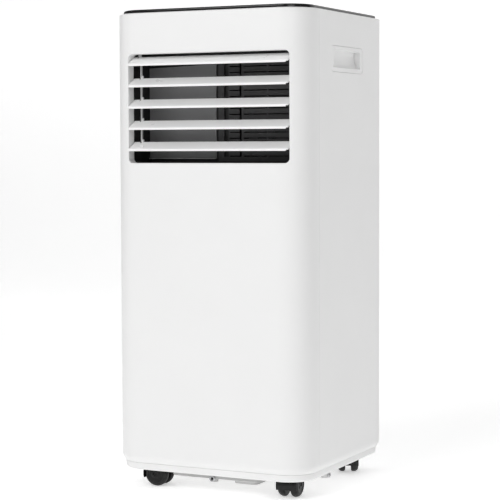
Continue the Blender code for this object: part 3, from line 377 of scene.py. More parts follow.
# Colour, roughness, grain and waviness as scale and depth, and mottle
FINISHES = {
    "case_white": ((0.872, 0.872, 0.870), 0.36, (1500, 0.000015), (9, 0.00006), 0.008),
    # the case's white made lighter for the blades: painted light standing in for the light their recessed
    # faces don't get
    "louver_white": ((0.950, 0.950, 0.948), 0.30, (1500, 0.00001), (14, 0.00004), 0.01),
    "base_white": ((0.868, 0.868, 0.865), 0.46, (1200, 0.00003), (12, 0.00008), 0.02),
    # darker copy of the base's white for the sump under the pan: painted shade
    "base_white_painted_shade": ((0.56, 0.56, 0.555), 0.50, (1200, 0.00003), (12, 0.00008), 0.03),
    "guard_grey": ((0.034, 0.034, 0.035), 0.48, (1300, 0.00004), (20, 0.0001), 0.12),
    "lid_black": ((0.0065, 0.0065, 0.0070), 0.09, (700, 0.000004), (16, 0.00003), 0.15),
    "display_black": ((0.004, 0.004, 0.005), 0.05, (500, 0.000003), (20, 0.00002), 0.2),
    "duct_black": ((0.0065, 0.0065, 0.0065), 0.52, (1300, 0.00004), (20, 0.0001), 0.15),
    "panel_grey": ((0.175, 0.175, 0.178), 0.40, (1300, 0.00003), (14, 0.0003), 0.08),
    "caster_black": ((0.0042, 0.0042, 0.0044), 0.44, (1400, 0.00003), (40, 0.00008), 0.2),
    "fan_black": ((0.022, 0.022, 0.024), 0.48, (1200, 0.00003), (30, 0.0001), 0.15),
    "foam_white": ((0.78, 0.78, 0.775), 0.75, (420, 0.00018), (30, 0.0004), 0.03),
    "foam_dark": ((0.020, 0.020, 0.021), 0.80, (420, 0.00018), (30, 0.0004), 0.15),
    # grey darker than the blades' white for the link bar among them: painted shade; on the duct panel's
    # bottom strip it is paler than the panel: painted highlight
    "painted_shade_and_highlight_grey": ((0.50, 0.50, 0.50), 0.36, (1500, 0.00001), (30, 0.00004), 0.03),
    "steel": ((0.56, 0.56, 0.57), 0.34, (260, 0.00003), (30, 0.00006), 0.12),
    "compressor_black": ((0.012, 0.012, 0.013), 0.30, (500, 0.00006), (60, 0.0002), 0.2),
    "copper": ((0.78, 0.36, 0.20), 0.28, (300, 0.00002), (60, 0.00005), 0.12),
    "fin_aluminium": ((0.74, 0.75, 0.77), 0.36, (420, 0.00003), (80, 0.00006), 0.08),
    "board_green": ((0.016, 0.10, 0.045), 0.38, (380, 0.00004), (30, 0.00005), 0.2),
    "button_grey": ((0.030, 0.030, 0.032), 0.30, (1500, 0.00001), (30, 0.00003), 0.08),
    "rubber_black": ((0.013, 0.013, 0.013), 0.68, (900, 0.00006), (50, 0.0001), 0.2),
    "filter_mesh": ((0.060, 0.062, 0.068), 0.62, (1500, 0.00004), (60, 0.0001), 0.15),
    "icon_white": ((0.62, 0.63, 0.64), 0.40, (1500, 0.00001), (30, 0.00002), 0.05),
}
FINISH_EXTRAS = {
    "lid_black": dict(rough_spread=0.07, patch=60),
    "display_black": dict(rough_spread=0.04),
    "caster_black": dict(specular=0.35, second=(0.014, 0.014, 0.015), second_share=(0.66, 0.84)),
    "foam_white": dict(rough_spread=0.1),
    "foam_dark": dict(rough_spread=0.1),
    "steel": dict(metallic=1.0, patch=90, rough_spread=0.16, stretch=(1, 1, 6)),
    "compressor_black": dict(second=(0.05, 0.048, 0.045), second_share=(0.66, 0.82)),
    "copper": dict(metallic=1.0, patch=70, rough_spread=0.18, second=(0.42, 0.20, 0.13),
                   second_share=(0.58, 0.85)),
    "fin_aluminium": dict(metallic=1.0, patch=110, rough_spread=0.14),
    "board_green": dict(second=(0.05, 0.22, 0.10), second_share=(0.52, 0.56)),
}
MATERIALS = {name: finish_of(name, *values, **FINISH_EXTRAS.get(name, {})) for name,
             values in FINISHES.items()}


def piece(name, shape, body, slot, *nodes, material=None, smooth=32):
    """Names a shape, gives it its finish and lets it ride on a body in place of the nodes it stands for."""
    shape.name = name
    shape.data.name = name
    shape.data.materials.clear()
    shape.data.materials.append(MATERIALS[material or slot])
    shape.data.shade_smooth()
    shape.data.set_sharp_from_angle(angle=math.radians(smooth))
    weighted = shape.modifiers.new("weighted", "WEIGHTED_NORMAL")
    weighted.keep_sharp = True
    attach(shape, body)
    if nodes:
        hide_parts(*nodes)
    return shape


# Case

def case_outline(inset, front_steps=26, rear_steps=8):
    half_width, half_depth = WIDTH / 2 - inset, DEPTH / 2 - inset
    front = max(FRONT_RADIUS - inset, SMALLEST_RADIUS)
    rear = max(REAR_RADIUS - inset, SMALLEST_RADIUS)
    corners = ((half_width - front, -half_depth + front, front, -90, front_steps),
               (half_width - rear, half_depth - rear, rear, 0, rear_steps),
               (-half_width + rear, half_depth - rear, rear, 90, rear_steps),
               (-half_width + front, -half_depth + front, front, 180, front_steps))
    points = []
    for x, y, radius, start, steps in corners:
        for i in range(steps + 1):
            angle = math.radians(start + 90 * i / steps)
            points.append((x + radius * math.cos(angle), y + radius * math.sin(angle)))
    return points


def stack(levels, **steps):
    return loft([[(x, y, z) for x, y in case_outline(inset, **steps)] for z, inset in levels])


def case_prism(inset, low, high):
    return stack(((low, inset), (high, inset)))


def cover_profile():
    """Heights and insets of the cover's outside: drawn in at the foot, rounded at the top."""
    foot, inset, rise = COVER_BOTTOM, 0.0042, 0.0120
    levels = [(foot + rise * t, inset * (1 - t) ** 2.3) for t in (i / 7 for i in range(8))]
    radius = 0.0025
    for i in range(1, 8):
        angle = math.radians(90 * i / 7)
        levels.append((COVER_TOP - radius + radius * math.sin(angle), radius * (1 - math.cos(angle))))
    return [(z, max(inset, 0.0)) for z, inset in levels]


def case_shell():
    levels = cover_profile()
    inner = stack([(COVER_BOTTOM - 0.005, levels[0][1] + WALL)] + [(z, inset + WALL) for z,
                                                                   inset in levels[:8]]
                  + [(COVER_TOP - WALL, WALL)])
    rim_hole = case_prism(RIM_INSET, COVER_TOP - 2 * WALL, COVER_TOP + WALL)
    return cut(stack(levels), inner, rim_hole)


def outlet_outline(margin, steps=10):
    left, right, bottom, top = OUTLET
    return rounded_rectangle((left - margin, bottom - margin), (right + margin, top + margin),
                             OUTLET_RADIUS + margin, steps)


def front_at(x):
    """y of the case's outside at x, for the front and its corners."""
    reach = max(0.0, abs(x) - (WIDTH / 2 - FRONT_RADIUS))
    return FRONT + FRONT_RADIUS - math.sqrt(max(FRONT_RADIUS ** 2 - reach ** 2, 0.0))


def outlet_cutter():
    """Opening whose rim is rounded over where it meets the front and its corners."""
    rings = []
    for degrees in (8, 8, 30, 52, 74, 90):
        angle = math.radians(degrees)
        margin = LIP_RADIUS * (1 - math.sin(angle))
        depth = LIP_RADIUS * (1 - math.cos(angle)) - (0.004 if not rings else 0.0)
        outline = outlet_outline(margin)
        rings.append([(x, front_at(x) + depth, z) for x, z in outline])
    outline = outlet_outline(0.0)
    rings.append([(x, JAMB_BACK + 0.01, z) for x, z in outline])
    return loft(rings)


def on_seam(middle, edge):
    return abs(middle.y - SEAM_Y) < GAP and abs(abs(middle.x) - WIDTH / 2) < 0.006


def build_front():
    far = 0.2
    space = box((-far, -far, 0.0), (far, SEAM_Y - GAP / 2, 1.0))
    jamb = common(prism(outlet_outline(WALL), "y", FRONT - 0.01, JAMB_BACK), stack(cover_profile()))
    cover = join(common(case_shell(), space), jamb)
    cover = cut(cover, outlet_cutter())
    depth = WALL - 0.0002
    sockets = [cylinder("x", blade_pivot(i), PIN_RADIUS + GAP, OUTLET[0] - depth, OUTLET[1] + depth, 16)
               for i in range(BLADE_COUNT)]
    cover = cut(cover, *sockets)
    piece("front_shell", soften(cover, 0.0004, on_seam), "case", "case_white", "front_cover", "outlet_frame")


def blade_pivot(index):
    return TOP_PIVOT[0], TOP_PIVOT[1] - index * BLADE_PITCH


def pocket_boss(centre, radius, depth):
    return cylinder("y", centre, radius + WALL, BACK - depth - WALL, BACK - WALL / 2, 64)


def build_rear():
    far = 0.2
    space = box((-far, SEAM_Y + GAP / 2, 0.0), (far, far, 1.0))
    cover = common(case_shell(), space)
    cover = join(cover, pocket_boss(EXHAUST, EXHAUST_POCKET_RADIUS, EXHAUST_POCKET_DEPTH))
    cover = join(cover, pocket_boss(UPPER_DRAIN, 0.011, DRAIN_POCKET_DEPTH))
    cover = join(cover, pocket_boss(LOWER_DRAIN, 0.009, DRAIN_POCKET_DEPTH))
    outside, inside = BACK + 0.01, BACK - 0.03
    openings = [
        cylinder("y", EXHAUST, EXHAUST_POCKET_RADIUS, BACK - EXHAUST_POCKET_DEPTH, outside, 96),
        cylinder("y", EXHAUST, EXHAUST_RADIUS + 0.0045, inside, outside, 96),
        cylinder("y", UPPER_DRAIN, 0.011, BACK - DRAIN_POCKET_DEPTH, outside, 48),
        cylinder("y", UPPER_DRAIN, 0.0050, inside, outside, 32),
        cylinder("y", LOWER_DRAIN, 0.009, BACK - DRAIN_POCKET_DEPTH, outside, 48),
        cylinder("y", LOWER_DRAIN, 0.0042, inside, outside, 32),
        cylinder("y", GLAND, 0.0060, inside, outside, 32),
        box((-DOOR_HALF_WIDTH - 2 * GAP, inside, DOOR_Z[0] - 2 * GAP),
            (DOOR_HALF_WIDTH + 2 * GAP, outside, DOOR_Z[1] + 2 * GAP)),
        box((-VENT_HALF_WIDTH - GAP, inside, VENT_Z[0] - GAP),
            (VENT_HALF_WIDTH + GAP, outside, VENT_Z[1] + GAP)),
    ]
    openings += [cylinder("y", place, 0.0046, BACK - 0.0016, outside, 32) for place in SCREWS]
    grip = rounded_rectangle((GRIP_Y[0] - GAP, GRIP_Z[0] - GAP), (GRIP_Y[1] + GAP, GRIP_Z[1] + GAP), 0.008)
    openings += [prism(grip, "x", *sorted((side * 0.14, side * 0.16))) for side in (-1, 1)]
    cover = cut(cover, *openings)

    def rims(middle, edge):
        flat_back = all(abs(vert.co.y - BACK) < 1e-5 for vert in edge.verts)
        return on_seam(middle, edge) or (flat_back and abs(middle.x) < 0.142 and middle.z < 0.65)

    piece("rear_shell", soften(cover, 0.0004, rims), "case", "case_white", "rear_cover")
    for number, (x, z) in enumerate(SCREWS, 1):
        profile = rounded([(0.0001, BACK - 0.0015), (0.0036, BACK - 0.0015), (0.0036, BACK - 0.0008),
                           (0.0026, BACK - 0.0002), (0.0001, BACK - 0.0001)], 0.0003)
        head = turned([(0.0, profile[0][1])] + profile[1:-1] + [(0.0, profile[-1][1])], "y", (x, z), 40)
        slots = [box((x - a, BACK - 0.0009, z - b), (x + a, BACK + 0.001, z + b))
                 for a, b in ((0.0019, 0.00035), (0.00035, 0.0019))]
        piece(f"back_screw_{number}", cut(head, join(*slots)), "case", "steel")


def build_grips():
    """Side grip: a flat flange round a scooped cup that is deepest under its top edge."""
    outer_x = WIDTH / 2 - 0.0002
    deep_x = outer_x - GRIP_DEPTH
    height = GRIP_MOUTH_Z[1] - GRIP_MOUTH_Z[0]
    for side, name in ((-1, "left"), (1, "right")):
        outline = rounded_rectangle((GRIP_Y[0], GRIP_Z[0]), (GRIP_Y[1], GRIP_Z[1]), 0.008)
        flange = prism(outline, "x", *sorted((side * outer_x, side * (outer_x - WALL))))
        cup = box((min(side * (outer_x - 0.001), side * (deep_x - WALL)), GRIP_MOUTH_Y[0] - WALL,
                   GRIP_MOUTH_Z[0] - 0.004),
                  (max(side * (outer_x - 0.001), side * (deep_x - WALL)), GRIP_MOUTH_Y[1] + WALL,
                   GRIP_MOUTH_Z[1] + WALL))
        rings = []
        reach, turn = 0.0040, (0, 22, 45, 67, 90)
        ends = [(reach * (1 - math.sin(math.radians(a))), math.cos(math.radians(a))) for a in reversed(turn)]
        places = [(GRIP_MOUTH_Y[0] + a, b) for a, b in ends[::-1]][::-1]
        places += [(GRIP_MOUTH_Y[1] - a, b) for a, b in ends[::-1]]
        for y, share in places:
            shrink = reach * share
            ring = [(side * (outer_x + 0.01), y, GRIP_MOUTH_Z[1]),
                    (side * (deep_x + shrink), y, GRIP_MOUTH_Z[1])]
            for i in range(19):
                angle = math.radians(90 * i / 18)
                x = outer_x - (GRIP_DEPTH - shrink) * math.cos(angle)
                z = GRIP_MOUTH_Z[1] - GRIP_STRAIGHT - (height - GRIP_STRAIGHT) * math.sin(angle)
                ring.append((side * x, y, z))
            ring.append((side * (outer_x + 0.01), y, GRIP_MOUTH_Z[0]))
            rings.append(ring)
        handle = cut(join(flange, cup), loft(rings))

        def rims(middle, edge):
            return abs(middle.x) > outer_x - 0.0001

        piece(f"grip_{name}", soften(handle, 0.0006, rims, 3), "case", "case_white", f"handle_{name}")


# Top panel

def build_top():
    edge = 0.0026
    levels = [(0.6500, LID_INSET), (TOTAL_HEIGHT - edge, LID_INSET)]
    for i in range(1, 9):
        angle = math.radians(90 * i / 8)
        levels.append((TOTAL_HEIGHT - edge + edge * math.sin(angle),
                       LID_INSET + edge * (1 - math.cos(angle))))
    lid = stack(levels)
    hollow = case_prism(LID_INSET + WALL, 0.640, 0.6560)
    above = TOTAL_HEIGHT + 0.01
    tray = prism(rounded_rectangle((-0.108, BUTTON_Y - 0.013), (0.108, BUTTON_Y + 0.013), 0.008),
                 "z", PANEL_FLOOR, above)
    window = prism(rounded_rectangle((-0.0265, BUTTON_Y - 0.0095), (0.0265, BUTTON_Y + 0.0095), 0.003),
                   "z", PANEL_FLOOR - 0.0016, above)
    holes = [cylinder("z", (x, BUTTON_Y), BUTTON_RADIUS + 2 * GAP, 0.64, above, 48) for x in BUTTONS.values()]
    lid = cut(lid, hollow, tray, window, *holes)

    def rims(middle, edge):
        return middle.z > PANEL_FLOOR - 1e-4 and abs(middle.x) < 0.1085 and abs(middle.y - BUTTON_Y) < 0.0135

    piece("lid", soften(lid, 0.00025, rims), "case", "lid_black", "top_panel")

    lens = prism(rounded_rectangle((-0.0262, BUTTON_Y - 0.0092), (0.0262, BUTTON_Y + 0.0092), 0.0027),
                 "z", PANEL_FLOOR - 0.0016 + GAP, PANEL_FLOOR + 0.0002)
    piece("display_lens", soften(lens, 0.0002), "case", "display_black", "display_window")
    for name, x in BUTTONS.items():
        profile = [(0, 0.6432), (0.0022, 0.6432), (0.0022, 0.6542), (0.0076, 0.6542), (0.0076, 0.6557),
                   (0.0060, 0.6557), (0.0060, 0.6591), (0.00592, 0.6594), (0.0057, 0.65965), (0.0054, 0.6598),
                   (0.0044, 0.65975), (0.0030, 0.6596), (0.0015, 0.6595), (0, 0.65945)]
        body = turned(profile, "z", (x, BUTTON_Y), 64)
        piece(f"{name}_cap", body, name, "button_grey", name)
        build_icon(name, x)


def bar(x, y, length, width, degrees, low=0.65930, high=0.65985):
    """Thin inlaid stroke on a button, centred on x, y."""
    half_l, half_w = length / 2, width / 2
    turn = Matrix.Rotation(math.radians(degrees), 2)
    outline = rounded([(-half_l, -half_w), (half_l, -half_w), (half_l, half_w), (-half_l, half_w)],
                      half_w * 0.8)
    return prism([tuple(turn @ Vector(p) + Vector((x, y))) for p in outline], "z", low, high)


def arc_stroke(x, y, radius, width, start, end, low=0.65930, high=0.65985, steps=24):
    outline = []
    for r, angles in ((radius + width / 2, (start, end)), (radius - width / 2, (end, start))):
        for i in range(steps + 1):
            angle = math.radians(angles[0] + (angles[1] - angles[0]) * i / steps)
            outline.append((x + r * math.cos(angle), y + r * math.sin(angle)))
    return prism(outline, "z", low, high)


def build_icon(name, x):
    """Plain sign on each button: power, mode, fan, timer, up and down."""
    y, width = BUTTON_Y, 0.00042
    if name == "power_button":
        shapes = [arc_stroke(x, y, 0.0022, width, 120, 420), bar(x, y + 0.0018, 0.0022, width, 90)]
    elif name == "mode_button":
        shapes = [bar(x + 0.0013 * math.cos(math.radians(a)), y + 0.0013 * math.sin(math.radians(a)), 0.0018,
                      width, a) for a in range(0, 360, 60)]
    elif name == "fan_button":
        shapes = [arc_stroke(x + 0.0012 * math.cos(math.radians(a)), y + 0.0012 * math.sin(math.radians(a)),
                             0.0010, width, a - 100, a + 60) for a in (90, 210, 330)]
    elif name == "timer_button":
        shapes = [arc_stroke(x, y, 0.0023, width, 0, 359), bar(x, y + 0.0007, 0.0015, width, 90),
                  bar(x + 0.0009, y, 0.0011, width, 0)]
    else:
        lean = 1 if name == "up_button" else -1
        shapes = [bar(x - 0.00105, y, 0.0030, width, 45 * lean),
                  bar(x + 0.00105, y, 0.0030, width, -45 * lean)]
    piece(f"{name}_sign", gathered(*shapes), name, "button_grey", material="icon_white")


# Louvers

def build_louvers():
    left, right = OUTLET[0] + BLADE_END_GAP, OUTLET[1] - BLADE_END_GAP
    stub, half = BLADE_END_GAP + 0.0018, LINK_WIDTH / 2
    section = rounded([(-0.0086, -0.0066), (-0.0090, -0.0060), (-0.0090, -0.0040), (-0.0084, -0.0032),
                       (0.0080, 0.0060), (0.0087, 0.0060), (0.0089, 0.0055), (0.0083, 0.0045),
                       (-0.0062, -0.0048), (-0.0078, -0.0066)], 0.0005, 4)
    for index in range(BLADE_COUNT):
        y, z = blade_pivot(index)
        pin_x = LINK_X + (LINK_TOP_SHIFT if index == 0 else 0.0)
        pin_y, pin_z = y + LINK_PIN[0], z + LINK_PIN[1]
        ear_low = pin_x + half + GAP
        blade = prism([(y + a, z + b) for a, b in section], "x", left - 0.01, right + 0.01)
        blade = common(blade, prism(outlet_outline(-BLADE_END_GAP), "y", FRONT - 0.01, JAMB_BACK + 0.01))
        notches = [box((pin_x - half - 2 * GAP, y + 0.0055, z - 0.02), (ear_low + GAP, y + 0.03, z + 0.02)),
                   box((right - 0.0030, y - 0.02, z - 0.02), (right + 0.01, y - 0.0030, z - 0.0050))]
        blade = cut(blade, *notches)
        ear = prism(rounded([(y + 0.0058, z + 0.0036), (y + 0.0082, z + 0.0050),
                             (pin_y + 0.0012, pin_z - 0.0014),
                             (pin_y + 0.0017, pin_z), (pin_y + 0.0010, pin_z + 0.0014),
                             (pin_y - 0.0010, pin_z + 0.0014)], 0.0006), "x", ear_low, ear_low + 0.0014)
        link_pin = cylinder("x", (pin_y, pin_z), LINK_PIN_RADIUS, pin_x - half - GAP, ear_low + 0.0004, 16)
        end_pins = [cylinder("x", (y, z), PIN_RADIUS, left - stub, left + 0.0030, 24),
                    cylinder("x", (y, z), PIN_RADIUS, right - 0.0030, right + stub, 24)]
        blade = join(blade, *end_pins, ear, link_pin)
        if index == BLADE_COUNT - 1:
            slope = math.atan2(0.0092, 0.0164)
            out = Vector((0.0, -math.sin(slope), math.cos(slope)))
            centre = Vector((-0.1000, y - 0.0045, z - 0.0008))
            knob = turned([(0, -0.0010), (0.0037, -0.0010), (0.0037, 0.0006), (0.0034, 0.0009),
                           (0.0029, 0.0009),
                           (0.0026, 0.0002), (0, 0.0002)], "z", (0.0, 0.0), 48)
            knob.data.transform(Matrix.Translation(centre) @ Vector((0, 0, 1)).rotation_difference(out)
                                .to_matrix().to_4x4())
            blade = join(blade, knob)
        # the blades take a lighter copy of the case's white: painted light
        piece(f"blade_{index + 1}", blade, f"louver_{index + 1}", "louver_white", f"louver_blade_{index + 1}",
              smooth=40)

    pin_y, pin_z = TOP_PIVOT[0] + LINK_PIN[0], TOP_PIVOT[1] + LINK_PIN[1]
    low_z = blade_pivot(BLADE_COUNT - 1)[1] + LINK_PIN[1]
    end = 0.0020
    outline = rounded([(LINK_X - half, low_z - end), (LINK_X + half, low_z - end),
                       (LINK_X + half, pin_z - 0.0095),
                       (LINK_X + half + LINK_TOP_SHIFT, pin_z - 0.0050),
                       (LINK_X + half + LINK_TOP_SHIFT, pin_z + end), (LINK_X - half + LINK_TOP_SHIFT,
                                                                       pin_z + end),
                       (LINK_X - half + LINK_TOP_SHIFT, pin_z - 0.0056), (LINK_X - half,
                                                                          pin_z - 0.0101)], 0.0009, 4)
    link = soften(prism(outline, "y", pin_y - LINK_DEPTH / 2, pin_y + LINK_DEPTH / 2), 0.0003)
    holes = [cylinder("x", (pin_y, pin_z - i * BLADE_PITCH), LINK_PIN_RADIUS + GAP, LINK_X - 0.01,
                      LINK_X + 0.01, 16)
             for i in range(BLADE_COUNT)]
    # the link bar's grey is the blades' white darkened: painted shade
    piece("link_bar", cut(link, *holes), "louver_link", "louver_white", "louver_link",
          material="painted_shade_and_highlight_grey")


def build_panel_edge():
    """Pale strip along the bottom of the panel in the duct: a painted highlight on its lip."""
    edge = box((-0.1182, -0.0733, 0.4557), (-0.0137, -0.0726, 0.4567))
    piece("duct_panel_edge", soften(edge, 0.0002), "case", "case_white", material="painted_shade_and_highlight_grey")


# Back fittings

def build_back():
    door_low, door_high = BACK - 0.0034, BACK - 0.0004
    x_lines = [-DOOR_HALF_WIDTH, -0.1020, -0.0360, -0.0320, 0.0320, 0.0360, 0.1020, DOOR_HALF_WIDTH]
    z_lines = bars(DOOR_Z[0] + 0.0075, DOOR_Z[1] - 0.0105, 12, GRILLE_BAR)
    z_lines[0], z_lines[-1] = DOOR_Z
    door = grid_plate(x_lines, z_lines, lambda i, j: i % 2 == 1 and j % 2 == 1, door_low, door_high)
    pull = prism(rounded_rectangle((-0.020, DOOR_Z[1] - 0.0085), (0.020, DOOR_Z[1] - 0.0030), 0.0020), "y",
                 BACK - 0.0018, BACK + 0.01)
    piece("intake_door", soften(cut(door, pull), 0.0006), "filter_door", "case_white", "upper_grille")

    filter_low = BACK - 0.0100
    frame_x = [-0.1060, -0.1020, -0.0020, 0.0020, 0.1020, 0.1060]
    frame_z = [DOOR_Z[0] + 0.0080, DOOR_Z[0] + 0.0120, 0.5005, 0.5045, DOOR_Z[1] - 0.0120, DOOR_Z[1] - 0.0080]
    holder = grid_plate(frame_x, frame_z, lambda i, j: i % 2 == 1 and j % 2 == 1, filter_low,
                        door_low - 2 * GAP)
    piece("filter_frame", soften(holder, 0.0004), "filter_door", "filter_mesh", "air_filter")
    build_net(filter_low + 0.0020, (-0.1030, 0.1030), (DOOR_Z[0] + 0.0110, DOOR_Z[1] - 0.0110))

    x_lines = [-VENT_HALF_WIDTH, -0.0990, -0.0350, -0.0310, 0.0310, 0.0350, 0.0990, VENT_HALF_WIDTH]
    z_lines = bars(VENT_Z[0] + 0.0040, VENT_Z[1] - 0.0040, 8, GRILLE_BAR)
    z_lines[0], z_lines[-1] = VENT_Z
    vent = grid_plate(x_lines, z_lines, lambda i, j: i % 2 == 1 and j % 2 == 1, BACK - 0.0032, BACK - 0.0004)
    piece("condenser_grille", soften(vent, 0.0006), "case", "case_white", "lower_grille")

    flange = BACK - EXHAUST_POCKET_DEPTH + GAP
    outer = EXHAUST_RADIUS + 0.0040
    profile = [(EXHAUST_RADIUS, 0.0840), (outer, 0.0840), (outer, flange), (0.0680, flange),
               (0.0680, flange + 0.0018), (outer + 0.0006, flange + 0.0022), (outer, flange + 0.0030),
               (outer, BACK - 0.0003), (EXHAUST_RADIUS, BACK - 0.0003)]
    collar = turned(rounded(profile, 0.0005, 2), "y", EXHAUST, 120)
    lugs = [cylinder("y", (EXHAUST[0] + 0.0655 * math.cos(math.radians(a)),
                           EXHAUST[1] + 0.0655 * math.sin(math.radians(a))), 0.0019, flange + 0.0005,
                     flange + 0.0046, 24) for a in (45, 135, 225, 315)]
    piece("hose_collar", join(collar, *lugs), "case", "case_white", "exhaust_collar")

    for name, place, cap, stem in (("upper", UPPER_DRAIN, 0.0092, 0.0044),
                                   ("lower", LOWER_DRAIN, 0.0074, 0.0036)):
        seat = BACK - DRAIN_POCKET_DEPTH + GAP
        top = BACK - 0.0004
        profile = [(0, BACK - 0.0105), (stem - 0.0004, BACK - 0.0105), (stem, BACK - 0.0100), (stem, seat),
                   (cap, seat), (cap, BACK - 0.0013), (cap - 0.0003, BACK - 0.0007), (cap - 0.0009, top),
                   (cap - 0.0022, top), (cap - 0.0026, top - 0.0012), (0, top - 0.0012)]
        plug = turned(profile, "y", place, 64)
        bridge = prism(rounded_rectangle((place[0] - cap + 0.0018, place[1] - 0.0011),
                                         (place[0] + cap - 0.0018, place[1] + 0.0011), 0.0010),
                       "y", top - 0.0020, top - 0.0001)
        piece(f"drain_plug_{name}_cap", join(plug, bridge), f"drain_plug_{name}", "rubber_black",
              f"drain_cap_{name}")

    inner = BACK - WALL - GAP
    profile = [(0.0035, inner - 0.0040), (0.0085, inner - 0.0040), (0.0085, inner), (0.0056, inner),
               (0.0056, BACK - 0.0010), (0.0050, BACK - 0.0003), (0.0035, BACK - 0.0003)]
    piece("cord_bushing", turned(rounded(profile, 0.0003, 2), "y", GLAND, 48), "case", "rubber_black",
          "cord_gland")


def build_net(y, x_range, z_range):
    """Open weave of the air filter: threads that pass over and under one another."""
    pitch, thick, sway = 0.0026, 0.00022, 0.00016
    bm = bmesh.new()
    columns = int((x_range[1] - x_range[0]) / pitch)
    rows = int((z_range[1] - z_range[0]) / pitch)

    def thread(points):
        rings = [[bm.verts.new((p[0] + a * p[3], p[1] + b, p[2] + a * p[4])) for a, b in
                  ((-thick, -thick), (thick, -thick), (thick, thick), (-thick, thick))] for p in points]
        for first, then in zip(rings, rings[1:]):
            for i in range(4):
                j = (i + 1) % 4
                bm.faces.new((first[i], first[j], then[j], then[i]))
        bm.faces.new(list(reversed(rings[0])))
        bm.faces.new(rings[-1])

    for i in range(columns + 1):
        x = x_range[0] + i * pitch
        thread([(x, y + sway * (1 if (i + k) % 2 else -1), z_range[0] + k * pitch, 1.0, 0.0)
                for k in range(rows + 1)])
    for k in range(rows + 1):
        z = z_range[0] + k * pitch
        thread([(x_range[0] + i * pitch, y - sway * (1 if (i + k) % 2 else -1), z, 0.0, 1.0)
                for i in range(columns + 1)])
    piece("filter_net", object_from(bm), "filter_door", "filter_mesh")


# Coils and fans

def build_coil(name, half_width, y_low, y_high, z_low, z_high, rows):
    """Stack of thin fins with a pressed edge, end plates, and tube bends standing out of both ends."""
    pitch, thick = 0.0019, 0.00014
    bm = bmesh.new()

    def slab(x, half, low_y, high_y, low_z, high_z):
        corners = [(x - half, low_y, low_z), (x + half, low_y, low_z), (x + half, high_y, low_z),
                   (x - half, high_y, low_z)]
        lower = [bm.verts.new(c) for c in corners]
        upper = [bm.verts.new((c[0], c[1], high_z)) for c in corners]
        for i in range(4):
            j = (i + 1) % 4
            bm.faces.new((lower[i], lower[j], upper[j], upper[i]))
        bm.faces.new(list(reversed(lower)))
        bm.faces.new(upper)

    count = int(2 * (half_width - 0.003) / pitch)
    for i in range(count + 1):
        lag = 0.0003 if i % 2 else 0.0
        slab(-count * pitch / 2 + i * pitch, thick, y_low + 0.0006 + lag, y_high - 0.0006 - lag,
             z_low + 0.0008, z_high - 0.0008)
    for side in (-1, 1):
        slab(side * (half_width - 0.0007), 0.0007, y_low, y_high, z_low, z_high)
    piece(f"{name}_fins", object_from(bm), "case", "fin_aluminium", name)
    middle = (y_low + y_high) / 2
    tubes = []
    for i in range(rows):
        z = z_low + (i + 0.5) * (z_high - z_low) / rows
        for side in (-1, 1):
            bend = [(side * (half_width - 0.004), middle - 0.008, z)]
            for step in range(13):
                angle = math.radians(-90 + 180 * step / 12)
                bend.append((side * (half_width + 0.0008 + 0.008 * math.cos(angle)),
                             middle + 0.008 * math.sin(angle), z))
            bend.append((side * (half_width - 0.004), middle + 0.008, z))
            tubes.append(tube(bend, 0.0031, 12))
        tubes += [cylinder("x", (middle + side * 0.008, z), 0.0029, -half_width + 0.0045,
                           half_width - 0.0045, 12)
                  for side in (-1, 1)]
    piece(f"{name}_tubes", gathered(*tubes), "case", "copper")


def build_wheel(name, centre, radius, y_low, y_high, body, blades=38):
    """Squirrel-cage wheel: back disc, hub, curved vanes and a front ring."""
    rim, disc, hub, bore = 0.008, 0.0018, 0.009, 0.0026
    back = turned(rounded([(bore, y_low), (radius, y_low), (radius, y_low + disc),
                           (hub + 0.002, y_low + disc),
                           (hub, y_low + disc + 0.002), (hub, y_low + 0.016), (bore,
                                                                               y_low + 0.016)], 0.0004, 2),
                  "y", centre, 96)
    front = turned(rounded([(radius - rim, y_high - 0.0030), (radius, y_high - 0.0030), (radius, y_high),
                            (radius - rim, y_high)], 0.0005, 2), "y", centre, 96)
    parts = [back, front]
    for i in range(blades):
        start = 2 * math.pi * i / blades
        ring = []
        for offset, ts in ((0.0, range(6)), (0.0008, range(5, -1, -1))):
            for t in ts:
                share = t / 5
                r = radius - rim + 0.0006 + (rim - 0.0012) * share
                angle = start + 0.11 * share ** 1.6 + offset / radius
                ring.append((centre[0] + r * math.cos(angle), centre[1] + r * math.sin(angle)))
        parts.append(prism(ring, "y", y_low + disc - 0.0002, y_high - 0.0028))
    piece(f"{name}_cage", gathered(*parts), body, "fan_black", name)


# Base and casters

def feet():
    """Where the compressor's three feet stand."""
    return [(-0.062 + 0.053 * math.cos(math.radians(a)), -0.055 + 0.053 * math.sin(math.radians(a)))
            for a in (63, 183, 303)]


def sump_hollow():
    """Inside of the pan's deep middle, open at the top."""
    return prism(rounded_rectangle((-0.0620, -0.1140), (0.0695, 0.1140), 0.008), "z", 0.0205, 0.1)


